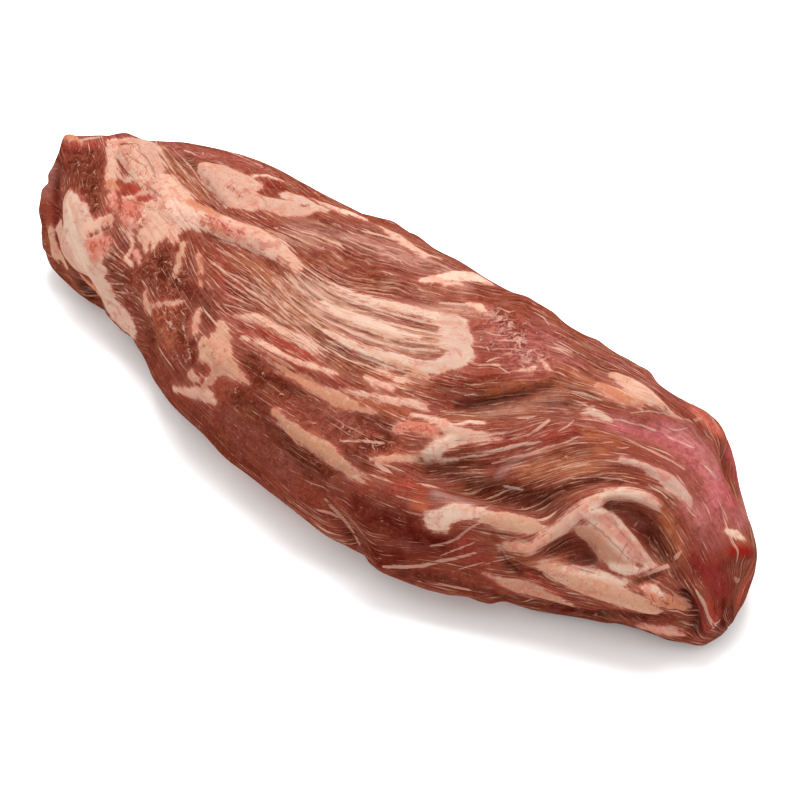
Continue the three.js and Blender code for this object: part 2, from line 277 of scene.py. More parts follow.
    "bottom_line": ("beige_fat", [(383, 567, 1.2), (405, 567, 1.9), (422, 566, 1.4), (440, 561, 1.8),
        (452, 559, 1.4), (476, 553, 1.2)]),
    "crease_line": ("pink_fat", [(325, 499, 1.2), (333, 508, 1.8), (343, 518, 1.8), (352, 530, 1.2),
        (360, 545, 1)]),
    "crease_line_b": ("pink_fat", [(314, 509, 0.8), (330, 513, 1.4), (344, 519, 0.8)]),
    "low_strip": ("tan_fat", [(485, 573, 1.2), (498, 580, 3), (515, 585, 6.5), (532, 589, 7.5),
        (548, 595, 5), (562, 602, 3), (580, 608, 1.5)]),
    "lowest_strip": ("pink_fat", [(418, 581, 0.9), (445, 585, 1.4), (470, 590, 1.2)]),
    "rust_fat": ("tan_fat", [(503, 547, 4), (518, 546, 5), (531, 550, 4)]),
    "low_band": ("beige_fat", [(544, 566, 5), (556, 574, 7.5), (572, 579, 10), (592, 584, 11),
        (610, 592, 11), (628, 600, 9), (645, 606, 7), (658, 612, 3)]),
    "low_band_end": ("white_fat", [(566, 568, 3), (585, 572, 4), (605, 577, 4), (625, 584, 3)]),
    "corner_lip": ("pink_fat", [(643, 627, 3.5), (660, 630, 5), (680, 633, 3)]),
    "corner_lumps": ("amber_fat", [(647, 587, 5), (655, 594, 6), (668, 601, 6), (681, 606, 4.5)]),
    "corner_lump_white": ("white_fat", [(645, 587, 3), (655, 588, 4), (661, 594, 2.5)]),
    "rope": ("pad_fat", [(530, 549, 3), (547, 539, 5), (560, 529, 6), (577, 514, 6), (590, 504, 6),
        (607, 496, 5.5), (630, 494, 6), (648, 499, 6.5), (657, 506, 4.5)]),
    "rope_light": ("white_fat", [(600, 496, 2), (622, 491, 3), (640, 494, 3)]),
    "membrane": ("membrane_fat", [(584, 514, 5), (598, 516, 8), (612, 524, 11), (624, 537, 12),
        (636, 552, 9), (644, 562, 5)]),
    "membrane_low": ("tan_fat", [(582, 530, 6), (592, 538, 9), (604, 549, 10), (618, 560, 8),
        (632, 566, 5)]),
    "membrane_streak": ("grey_fat", [(586, 518, 2.4), (602, 530, 3), (616, 544, 3.4), (628, 556, 3)]),
    "membrane_rim": ("grey_fat", [(612, 514, 2.4), (626, 530, 3), (636, 542, 3.5), (644, 552, 3.5),
        (650, 561, 3)]),
    "membrane_foot": ("white_fat", [(612, 566, 3), (626, 570, 4.5), (642, 569, 4), (655, 565, 2)]),
    "membrane_top": ("white_fat", [(584, 512, 2.4), (596, 509, 3), (606, 512, 2.4)]),
    "flap": ("mauve", [(640, 577, 1.2), (655, 571, 1.8), (668, 565, 2.2), (678, 555, 1.8),
        (681, 551, 0.8)]),
    "orange_fat": ("amber_fat", [(602, 386, 4), (612, 392, 7), (624, 397, 8), (638, 403, 5)]),
    "orange_fat_top": ("cream", [(614, 376, 3), (628, 382, 7), (642, 391, 8), (654, 400, 6), (664, 409, 3),
        (672, 412, 1.5)]),
    "ridge_line": ("amber_fat", [(664, 412, 1.5), (680, 418, 1.5), (692, 421, 1.6), (702, 419, 1.4)]),
    # A pale band, partly fat and partly painted sheen
    "end_fat_and_sheen_streak": ("silver", [(621, 459, 1.6), (632, 463, 2.6), (645, 467, 3.4), (658, 472, 4.4)]),
    "end_fat_and_sheen_streak_low": ("silver", [(660, 472, 4.4), (671, 480, 5.4), (680, 488, 5.4), (687, 497, 4),
        (690, 504, 2)]),
    # Painted highlights above the wet knob
    "knob_highlight_spots": ("white_fat", [(728, 532, 2.5), (735, 534, 4), (742, 538, 2.4)]),
    "rim_fat": ("amber_fat", [(690, 404, 0.8), (702, 408, 1.4), (712, 418, 1.2), (720, 430, 0.8)]),
    "end_line_a": ("pink_fat", [(622, 437, 0.8), (645, 448, 1.1), (660, 455, 1.3), (675, 463, 1.2),
        (685, 470, 0.9)]),
    "end_line_b": ("cream", [(614, 419, 0.8), (635, 423, 1.1), (656, 431, 0.8)]),
    "end_line_c": ("cream", [(667, 437, 0.7), (680, 442, 1), (694, 448, 0.8)]),
    "end_line_d": ("cream", [(704, 465, 0.8), (711, 472, 1.1), (716, 478, 0.8)]),
    "end_line_e": ("white_fat", [(651, 487, 0.9), (660, 492, 1.2), (667, 498, 0.9)]),
    "fork_patch": ("white_fat", [(584, 414, 1.5), (592, 412, 3.6), (602, 416, 2.8), (610, 421, 1.4)]),
    # Painted highlights: pale marks where the wet surface shines, drawn like fat
    "painted_highlight_a": ("white_fat", [(520, 371, 1.5), (528, 372, 2.6), (535, 367, 1.5)]),
    "painted_highlight_b": ("white_fat", [(542, 361, 1.2), (546, 366, 2.4), (550, 370, 1)]),
    "painted_highlight_c": ("mauve", [(527, 436, 0.9), (538, 429, 1.4), (549, 420, 1.4)]),
    "painted_highlight_d": ("pink_fat", [(545, 340, 0.8), (558, 345, 1.4), (572, 352, 0.9)]),
    "end_spot_b": ("pink_fat", [(735, 578, 1.6), (738, 581, 1.8)]),
    "corner_line": ("cream", [(696, 590, 0.8), (704, 604, 1.8), (708, 616, 1.3), (714, 626, 1.4),
        (720, 620, 0.8)]),
}

# Fat strokes with half widths under this, in pixels, are drawn as threads, in a tone for each tint
THREAD_WIDTH = 2.3
THREAD_TONES = {"white_fat": 1.0, "cream": 0.8, "grey_fat": 0.7, "pad_fat": 0.7, "beige_fat": 0.6,
                "tan_fat": 0.4, "mauve": 0.5, "amber_fat": 0.3, "pink_fat": 0.3}

# Seeded strokes on the hidden sides: how many, their colours, and their lengths and half widths in mm
HIDDEN_SEAMS = (34, ["cream", "pad_fat", "beige_fat", "grey_fat", "white_fat"], (20, 70), (1.2, 3.0))
HIDDEN_PADS = (9, ["cream", "pad_fat", "beige_fat", "pink_fat"], (25, 55), (4.0, 7.0))
HIDDEN_PATCHES = (46, ["lean", "brown", "rust", "red", "plum", "purple", "amber", "dark_brown", "deep_red"],
                  (10, 45), (3.0, 8.0))
PATCH_STRENGTH = 0.75

# Pink and red mottles in the fat: strength, then points as (x, y, reach)
BLUSH_ELSEWHERE = 0.2
BLUSH = [
    (0.0, [(330, 308, 12), (370, 325, 16), (410, 340, 16), (440, 330, 10), (430, 366, 10)]),
    (0.0, [(72, 215, 14), (76, 245, 14), (96, 280, 10)]),
    (0.0, [(280, 418, 8), (310, 442, 8), (338, 462, 8)]),
    (1.0, [(104, 244, 8), (96, 252, 8), (92, 243, 6)]),
    (0.5, [(90, 234, 5), (102, 228, 5), (110, 222, 5)]),
    (0.9, [(114, 200, 6), (120, 212, 8), (132, 212, 9), (142, 222, 7)]),
    (0.45, [(122, 158, 7), (132, 168, 9), (142, 180, 9), (152, 192, 8)]),
    (0.7, [(118, 144, 8), (130, 148, 7)]),
    (0.55, [(148, 206, 9), (164, 204, 8)]),
    (0.9, [(204, 220, 6), (222, 228, 7), (242, 235, 6)]),
    (0.3, [(250, 238, 9), (272, 248, 8)]),
    (0.8, [(226, 186, 4), (232, 190, 4), (240, 196, 4)]),
    (0.5, [(250, 188, 6), (262, 196, 6)]),
    (0.8, [(400, 428, 6), (412, 427, 6), (430, 430, 6)]),
    (0.15, [(456, 350, 8), (468, 352, 7)]),
    (0.5, [(500, 582, 7), (530, 590, 8)]),
    (0.4, [(650, 600, 7), (668, 604, 8), (682, 606, 6)]),
    (0.4, [(640, 560, 8), (630, 545, 8)]),
    (0.6, [(640, 578, 4), (655, 572, 4), (670, 566, 4)]),
    (0.35, [(212, 345, 9), (222, 358, 9)]),
    (0.3, [(568, 578, 9), (600, 588, 9)]),
]

# Lean that lies over the fat again
LEAN_OVER = {
    "pad_gap": [(204, 186, 3), (218, 203, 3), (236, 214.5, 2.5), (256, 220, 3.5), (278, 228, 4)],
    "pad_red_spot": [(266, 184, 3), (276, 186, 4.5), (284, 184, 3.5)],
    "pad_brown_spot": [(301, 206, 1.4), (308, 206, 2)],
    "end_dark_red": [(123, 188, 3), (131, 187, 5), (140, 189, 3)],
    "end_red_b": [(141, 200, 3), (148, 199, 3.5), (156, 198, 2)],
    "end_red_c": [(121, 166, 2), (124, 173, 3), (127, 178, 1.5)],
    "end_red_d": [(105, 211, 4), (111, 212, 2.5)],
    "end_red_e": [(119, 192, 2), (120, 206, 2), (118, 216, 3)],
    "tongue_line": [(87, 237, 1.2), (98, 232, 1.6), (108, 228, 1.8)],
    "mid_patch_eye": [(202, 344, 1.2), (204, 347, 1.4)],
    "notch": [(71, 264, 3), (78, 276, 4), (88, 290, 5), (96, 298, 3)],
    "notch_b": [(61, 262, 2.5), (68, 276, 3.5)],
    "corner_red": [(662, 603, 2.5), (668, 604, 2)],
}

# Colour of the lean, laid on in this order: colour, strength, then points as (x, y, reach). Dark zones in
# grooves and hollows are painted shade, and some pale or bright ones are painted sheen and highlight.
ZONES = [
    ("purple", 0.9, [(52, 172, 10), (47, 192, 10)]),
    ("pale_lean", 0.35, [(52, 172, 9), (47, 192, 9)]),
    ("lean", 0.9, [(46, 210, 8), (50, 226, 9)]),
    ("amber", 0.8, [(48, 232, 6), (54, 250, 8)]),
    ("deep_red", 0.8, [(61, 152, 5), (57, 190, 5), (56, 225, 5), (60, 285, 5)]),
    ("red", 0.9, [(66, 158, 8), (82, 152, 9), (100, 145, 8), (122, 139, 5)]),
    ("bright_red", 0.7, [(64, 148, 4), (82, 146, 4), (100, 140, 4), (120, 137, 3)]),
    ("rust", 0.9, [(72, 164, 10), (86, 157, 10), (100, 160, 10), (104, 172, 8), (68, 185, 6)]),
    ("deep_red", 0.55, [(68, 152, 4), (84, 153, 5), (100, 151, 4)]),
    ("brown", 1.0, [(78, 166, 12), (86, 172, 13), (92, 188, 12), (94, 202, 9), (92, 214, 7)]),
    ("dark_brown", 0.5, [(84, 176, 6), (92, 190, 6)]),
    # Painted shade in the notch's crease
    ("deep_red", 0.9, [(70, 268, 4), (82, 284, 6), (92, 296, 6)]),
    ("crease_shade", 0.5, [(80, 282, 4), (90, 293, 4)]),
    ("bright_red", 0.9, [(108, 209, 6), (104, 216, 5), (92, 222, 5)]),
    ("bright_red", 0.9, [(124, 189, 5), (133, 188, 8), (150, 200, 7)]),
    ("red", 0.8, [(122, 168, 5), (121, 206, 6)]),
    ("plum", 0.9, [(165, 147, 6), (195, 152, 8), (240, 160, 8), (268, 172, 7)]),
    ("red", 0.6, [(232, 158, 6), (262, 170, 6)]),
    ("amber", 0.75, [(157, 144, 7), (170, 162, 8), (185, 178, 9), (202, 198, 7)]),
    # Painted shade along a groove
    ("dark_brown", 0.85, [(188, 157, 3), (202, 173, 4), (212, 190, 4), (221, 203, 3)]),
    ("red", 0.8, [(262, 186, 6), (276, 186, 7), (288, 182, 5)]),
    ("rust", 0.8, [(300, 192, 6), (340, 210, 6), (372, 222, 5)]),
    ("brown", 0.95, [(108, 262, 10), (120, 282, 14), (140, 262, 14), (150, 285, 18), (175, 262, 12)]),
    ("dark_brown", 0.85, [(160, 255, 9), (180, 285, 14), (200, 305, 12), (212, 318, 9)]),
    ("dark_brown", 0.6, [(125, 235, 7), (132, 246, 7)]),
    ("lean", 0.8, [(158, 328, 12), (172, 340, 12)]),
    ("amber", 0.4, [(158, 328, 8), (170, 338, 8)]),
    ("brown", 0.9, [(180, 318, 12), (190, 345, 16), (190, 370, 14)]),
    ("brown", 0.9, [(150, 345, 12), (165, 372, 14), (190, 410, 14), (225, 445, 14), (258, 472, 12)]),
    ("deep_red", 0.3, [(190, 416, 8), (225, 450, 8), (256, 474, 8)]),
    ("lean", 0.7, [(160, 366, 8), (174, 386, 8), (188, 404, 6)]),
    ("rust", 0.8, [(188, 250, 8), (192, 268, 8), (210, 280, 10)]),
    ("amber", 0.75, [(240, 256, 9), (256, 268, 10), (270, 284, 8), (284, 292, 7)]),
    ("red", 0.75, [(222, 256, 9), (214, 268, 9), (228, 285, 10)]),
    ("red", 0.9, [(226, 308, 12), (236, 325, 12), (252, 335, 8), (275, 345, 7), (305, 358, 6)]),
    ("bright_red", 0.6, [(250, 330, 5), (275, 336, 5), (300, 350, 5), (318, 360, 5)]),
    ("bright_red", 0.7, [(300, 366, 6), (318, 378, 7), (335, 384, 6)]),
    ("dark_brown", 0.95, [(250, 365, 11), (262, 378, 13), (280, 385, 12), (300, 392, 10)]),
    ("dark_brown", 0.95, [(238, 402, 16), (262, 412, 14), (290, 450, 20), (318, 470, 16)]),
    ("purple", 0.75, [(230, 420, 14), (260, 440, 18), (285, 475, 14)]),
    ("purple", 0.85, [(310, 405, 12), (335, 420, 16), (352, 432, 14)]),
    ("dark_brown", 0.8, [(360, 412, 8), (380, 424, 10), (390, 438, 8), (345, 455, 8), (365, 465, 8)]),
    ("pale_lean", 0.8, [(300, 230, 12), (350, 240, 12), (400, 256, 14)]),
    ("pale_lean", 0.95, [(420, 262, 12), (444, 270, 12), (464, 286, 9)]),
    ("purple", 0.4, [(290, 240, 6), (345, 262, 8), (390, 282, 8)]),
    ("amber", 0.6, [(330, 258, 6), (350, 262, 6)]),
    ("rust", 0.6, [(340, 282, 8), (380, 292, 8), (420, 298, 6)]),
    ("amber", 0.9, [(270, 290, 10), (300, 308, 14), (330, 330, 14)]),
    ("fan_amber", 0.95, [(310, 305, 10), (340, 318, 14), (370, 328, 15), (410, 338, 15), (440, 340, 12)]),
    ("fan_amber", 0.9, [(300, 285, 7), (340, 300, 8), (380, 311, 8), (430, 310, 7), (472, 311, 6)]),
    ("cream", 0.4, [(385, 341, 5), (405, 345, 6), (425, 350, 6)]),
    ("brown", 0.8, [(318, 338, 7), (345, 352, 8), (372, 360, 8), (395, 366, 6)]),
    ("amber", 0.6, [(340, 362, 8), (370, 372, 8), (420, 386, 8)]),
    ("orange", 0.6, [(355, 398, 6), (385, 408, 6), (408, 416, 6)]),
    ("purple", 0.6, [(410, 402, 6), (430, 402, 6)]),
    ("plum", 0.95, [(490, 320, 14), (510, 345, 20), (530, 365, 18), (545, 335, 18), (565, 360, 14)]),
    ("rust", 0.75, [(480, 292, 8), (510, 298, 10), (540, 312, 8)]),
    ("red", 0.6, [(480, 358, 6), (462, 374, 7), (490, 372, 6)]),
    ("brown", 0.7, [(440, 388, 9), (470, 392, 10), (500, 388, 10)]),
    ("rust", 0.8, [(580, 345, 10), (610, 362, 10), (648, 384, 10)]),
    ("plum", 0.6, [(590, 352, 6), (620, 366, 6), (660, 392, 8), (680, 402, 8)]),
    ("orange", 0.7, [(570, 372, 8), (590, 384, 9), (606, 396, 9)]),
    ("olive", 0.9, [(460, 418, 8), (490, 414, 9), (525, 408, 9), (556, 396, 8)]),
    ("fan_amber", 0.4, [(490, 414, 6), (525, 408, 6), (556, 396, 6)]),
    ("lean", 0.8, [(470, 430, 6), (500, 428, 8), (540, 412, 8)]),
    ("red", 0.85, [(480, 444, 6), (510, 440, 7), (545, 436, 7), (575, 430, 8)]),
    ("deep_red", 0.7, [(462, 448, 4), (472, 446, 4)]),
    ("plum", 0.5, [(560, 412, 8), (590, 422, 8)]),
    ("orange", 0.7, [(592, 434, 8), (610, 440, 9), (600, 452, 8)]),
    ("amber", 0.95, [(528, 472, 9), (556, 466, 11), (585, 466, 9), (604, 470, 7)]),
    ("brown", 0.7, [(560, 452, 5), (585, 448, 5)]),
    # These two are partly painted shade, darkening the valley
    ("brown", 0.95, [(430, 470, 8), (460, 474, 11), (490, 488, 13), (525, 496, 11), (565, 492, 9)]),
    ("dark_brown", 0.9, [(470, 488, 8), (500, 500, 10), (530, 506, 8), (575, 484, 5), (600, 478, 4)]),
    # Painted sheen on the lean
    ("mauve", 0.55, [(520, 458, 5), (508, 466, 4), (498, 476, 4)]),
    ("brown", 0.8, [(545, 510, 8), (565, 512, 8), (556, 502, 8)]),
    ("rust", 0.7, [(620, 466, 9), (640, 478, 8), (655, 482, 8)]),
    ("magenta", 1.0, [(612, 424, 8), (640, 430, 12), (670, 436, 16), (700, 455, 20), (722, 490, 22),
        (712, 514, 16)]),
    ("rim_pink", 0.9, [(726, 446, 5), (735, 462, 7), (741, 482, 7)]),
    ("pink_lean", 0.8, [(744, 500, 6), (745, 516, 7), (738, 524, 6)]),
    ("pink_lean", 0.8, [(662, 428, 7), (684, 436, 9), (704, 452, 9), (716, 474, 8)]),
    ("plum", 0.72, [(676, 478, 12), (694, 500, 14), (710, 530, 16), (728, 515, 12)]),
    ("pink_lean", 0.6, [(682, 494, 7), (692, 508, 9), (700, 520, 7)]),
    ("rust", 0.6, [(640, 482, 5), (656, 488, 6), (668, 500, 6)]),
    ("orange", 0.8, [(660, 508, 5), (668, 522, 7), (674, 540, 7), (680, 552, 5)]),
    ("plum", 0.7, [(704, 538, 10), (718, 542, 7)]),
    ("wet_lean", 0.95, [(696, 562, 12), (714, 572, 14), (720, 590, 12), (704, 584, 12)]),
    ("deep_red", 0.5, [(692, 568, 8), (700, 590, 6)]),
    ("bright_red", 0.5, [(738, 500, 5), (746, 524, 5)]),
    ("rim_pink", 0.8, [(728, 488, 8), (735, 502, 8)]),
    ("pink_lean", 0.85, [(741, 502, 5), (744, 516, 6)]),
    ("bright_red", 0.9, [(752, 566, 5), (747, 582, 6), (738, 600, 7)]),
    ("bright_red", 1.0, [(688, 406, 5), (702, 416, 8), (714, 427, 8), (726, 438, 5), (733, 448, 3)]),
    # Partly painted highlight on the lip's ridge
    ("lip_red_and_highlight", 1.0, [(694, 410, 4), (702, 417, 5.5), (712, 427, 5), (722, 435, 3)]),
    ("wet_red", 1.0, [(733, 551, 4.5), (740, 550, 6.5), (747, 551, 5.5)]),
    ("wet_lean", 0.9, [(690, 600, 7), (706, 614, 9), (722, 620, 9), (700, 634, 8)]),
    ("bright_red", 0.8, [(708, 604, 4), (714, 622, 5)]),
    ("deep_red", 0.85, [(722, 604, 5), (727, 616, 6), (720, 628, 5)]),
    # Painted shade in the deep crease at the corner
    ("deep_red", 0.9, [(672, 578, 4), (682, 582, 4), (688, 594, 4)]),
    ("crease_shade", 0.6, [(689, 598, 2.5), (695, 612, 4), (697, 628, 5)]),
    # Partly painted shade in two small hollows
    ("brown", 0.9, [(560, 545, 7), (575, 545, 8), (590, 548, 7)]),
    ("dark_brown", 0.8, [(586, 556, 5), (592, 562, 5)]),
    ("amber", 0.8, [(560, 560, 6), (545, 566, 6), (532, 562, 6)]),
    # Partly painted shade, in the hollow beside the membrane
    ("dark_brown", 1.0, [(608, 504, 5), (624, 510, 8), (640, 522, 11), (654, 540, 11), (664, 556, 9)]),
    ("plum", 0.35, [(612, 505, 4), (628, 513, 5), (642, 526, 5)]),
    ("brown", 0.9, [(672, 560, 6), (684, 566, 6)]),
    ("deep_plum", 0.9, [(356, 500, 8), (372, 512, 16), (392, 518, 20), (414, 538, 18), (440, 544, 12),
        (462, 552, 8)]),
    ("deep_plum", 0.8, [(350, 530, 8), (372, 548, 10), (400, 556, 9)]),
    ("rust", 0.5, [(452, 550, 7), (460, 552, 7)]),
    ("purple", 0.5, [(375, 502, 9), (392, 506, 9)]),
    ("red", 0.7, [(470, 528, 6), (462, 552, 8), (484, 560, 9)]),
    ("deep_red", 0.8, [(380, 562, 5), (410, 574, 6), (450, 584, 6), (500, 596, 4)]),
    ("mauve", 0.75, [(436, 494, 5), (452, 499, 6), (470, 504, 5)]),
    ("bright_red", 0.85, [(398, 486, 7), (410, 484, 7), (420, 492, 6)]),
    ("lump_orange", 0.9, [(414, 503, 5), (424, 507, 5)]),
    ("rust", 0.6, [(400, 476, 6), (430, 482, 6)]),
    ("brown", 0.9, [(330, 488, 12), (350, 478, 12)]),
    ("deep_red", 0.5, [(350, 508, 8), (365, 525, 9), (372, 548, 9)]),
    ("rust", 0.8, [(280, 490, 8), (305, 508, 9), (330, 522, 7)]),
    ("lean", 0.8, [(318, 486, 9), (330, 498, 10), (338, 506, 7)]),
    # Painted shade along the crease
    ("crease_shade", 0.15, [(322, 490, 1.6), (336, 514, 2.5), (348, 528, 3), (356, 542, 3.5)]),
    ("red", 0.5, [(312, 468, 2.5), (317, 478, 3)]),
    ("dark_brown", 0.8, [(400, 574, 5), (440, 580, 5), (500, 597, 4), (552, 607, 3)]),
    # Painted shade along the groove near the bottom
    ("deep_red", 0.85, [(556, 608, 3), (600, 614, 5), (645, 617, 5)]),
    ("bright_red", 0.8, [(530, 575, 3), (546, 586, 3), (560, 596, 3)]),
    # Painted shade in the groove
    ("crease_shade", 0.7, [(498, 552, 2.5), (508, 566, 3), (520, 573, 3)]),
    ("orange", 0.85, [(490, 394, 4), (505, 391, 4), (522, 386, 5), (545, 382, 5), (562, 384, 4)]),
    # Painted shade in the deep cleft
    ("crease_shade", 0.5, [(470, 406, 3), (484, 404, 4), (505, 400, 4.5), (526, 395, 3)]),
]

# Shares of bold streaks, fine streaks and short flecks of fat, then points as (x, y, reach)
MARBLING_ELSEWHERE = [0.2, 0.42, 0.25]
MARBLING = [
    (0.95, 1.2, 0.2, [(290, 236, 12), (340, 244, 15), (400, 258, 14), (440, 266, 10)]),
    (0.6, 0.9, 0.1, [(320, 225, 8), (370, 232, 8)]),
    (0.3, 0.9, 0.1, [(310, 268, 7), (360, 284, 9), (420, 292, 8)]),
    (0.1, 0.1, 0.0, [(448, 322, 8), (460, 340, 10), (462, 356, 9), (438, 368, 8)]),
    (1.5, 1.4, 0.1, [(292, 285, 10), (330, 305, 13), (370, 322, 14), (410, 334, 13), (440, 340, 8)]),
    (0.55, 1.0, 0.1, [(240, 285, 14), (270, 300, 14), (300, 320, 12)]),
    (0.3, 0.9, 0.0, [(165, 155, 7), (190, 185, 9), (215, 208, 7)]),
    (0.7, 0.9, 0.2, [(330, 350, 12), (370, 366, 12), (410, 380, 10)]),
    (0.5, 0.7, 0.3, [(240, 310, 10), (280, 330, 10), (320, 350, 8)]),
    (0.0, 0.05, 1.4, [(486, 312, 12), (502, 322, 18), (517, 338, 22), (532, 360, 18), (560, 346, 15)]),
    (0.05, 0.3, 0.1, [(595, 438, 12), (640, 455, 14), (670, 475, 12)]),
    (0.0, 0.05, 1.1, [(135, 260, 14), (160, 264, 20), (180, 290, 18), (165, 320, 18), (190, 350, 18)]),
    (0.0, 0.0, 0.95, [(76, 155, 14), (90, 165, 14), (95, 190, 12), (92, 210, 8)]),
    (0.0, 0.0, 0.1, [(50, 180, 12), (48, 215, 12), (60, 260, 12)]),
    (0.2, 0.35, 0.8, [(180, 148, 8), (220, 154, 8), (262, 168, 8), (290, 184, 6)]),
    (0.0, 0.1, 0.8, [(255, 370, 14), (280, 385, 12)]),
    (0.0, 0.05, 0.45, [(225, 425, 20), (250, 440, 22), (290, 480, 18)]),
    (0.0, 0.04, 0.4, [(150, 345, 10), (170, 385, 12), (195, 420, 12), (225, 450, 10), (260, 475, 10)]),
    (0.0, 0.05, 0.5, [(225, 385, 14), (245, 395, 14), (262, 405, 12)]),
    (0.0, 0.04, 0.1, [(124, 188, 5), (133, 188, 6), (150, 199, 6)]),
    (0.0, 0.04, 0.6, [(290, 400, 12), (318, 412, 12), (300, 440, 10), (330, 470, 12)]),
    (0.0, 0.0, 0.0, [(724, 553, 8), (738, 551, 10), (750, 552, 8)]),
    (0.0, 0.08, 1.0, [(340, 425, 18), (370, 440, 14), (400, 455, 10)]),
    (0.3, 0.6, 0.3, [(560, 350, 14), (610, 365, 12)]),
    (0.3, 1.0, 0.2, [(580, 385, 8), (600, 395, 8)]),
    (0.1, 0.5, 0.4, [(480, 425, 10), (520, 425, 10), (560, 410, 10)]),
    (0.1, 0.6, 0.2, [(540, 470, 12), (580, 462, 10)]),
    (0.0, 0.14, 0.55, [(640, 430, 14), (680, 445, 20), (710, 480, 20), (725, 520, 16)]),
    (0.0, 0.15, 0.6, [(680, 500, 12), (700, 520, 12)]),
    (0.0, 0.0, 0.1, [(705, 565, 18), (720, 600, 16)]),
    (0.0, 0.1, 0.1, [(600, 520, 12), (640, 530, 14), (580, 545, 10)]),
    (0.0, 0.05, 0.3, [(345, 500, 14), (370, 515, 20), (400, 522, 26), (445, 542, 20), (480, 562, 14)]),
    (0.0, 0.05, 0.3, [(380, 555, 12), (410, 565, 12), (455, 578, 12), (500, 588, 10)]),
    (0.3, 0.7, 0.2, [(660, 490, 8), (672, 500, 8)]),
    (0.0, 0.03, 0.4, [(300, 484, 12), (318, 500, 11), (338, 522, 9)]),
]

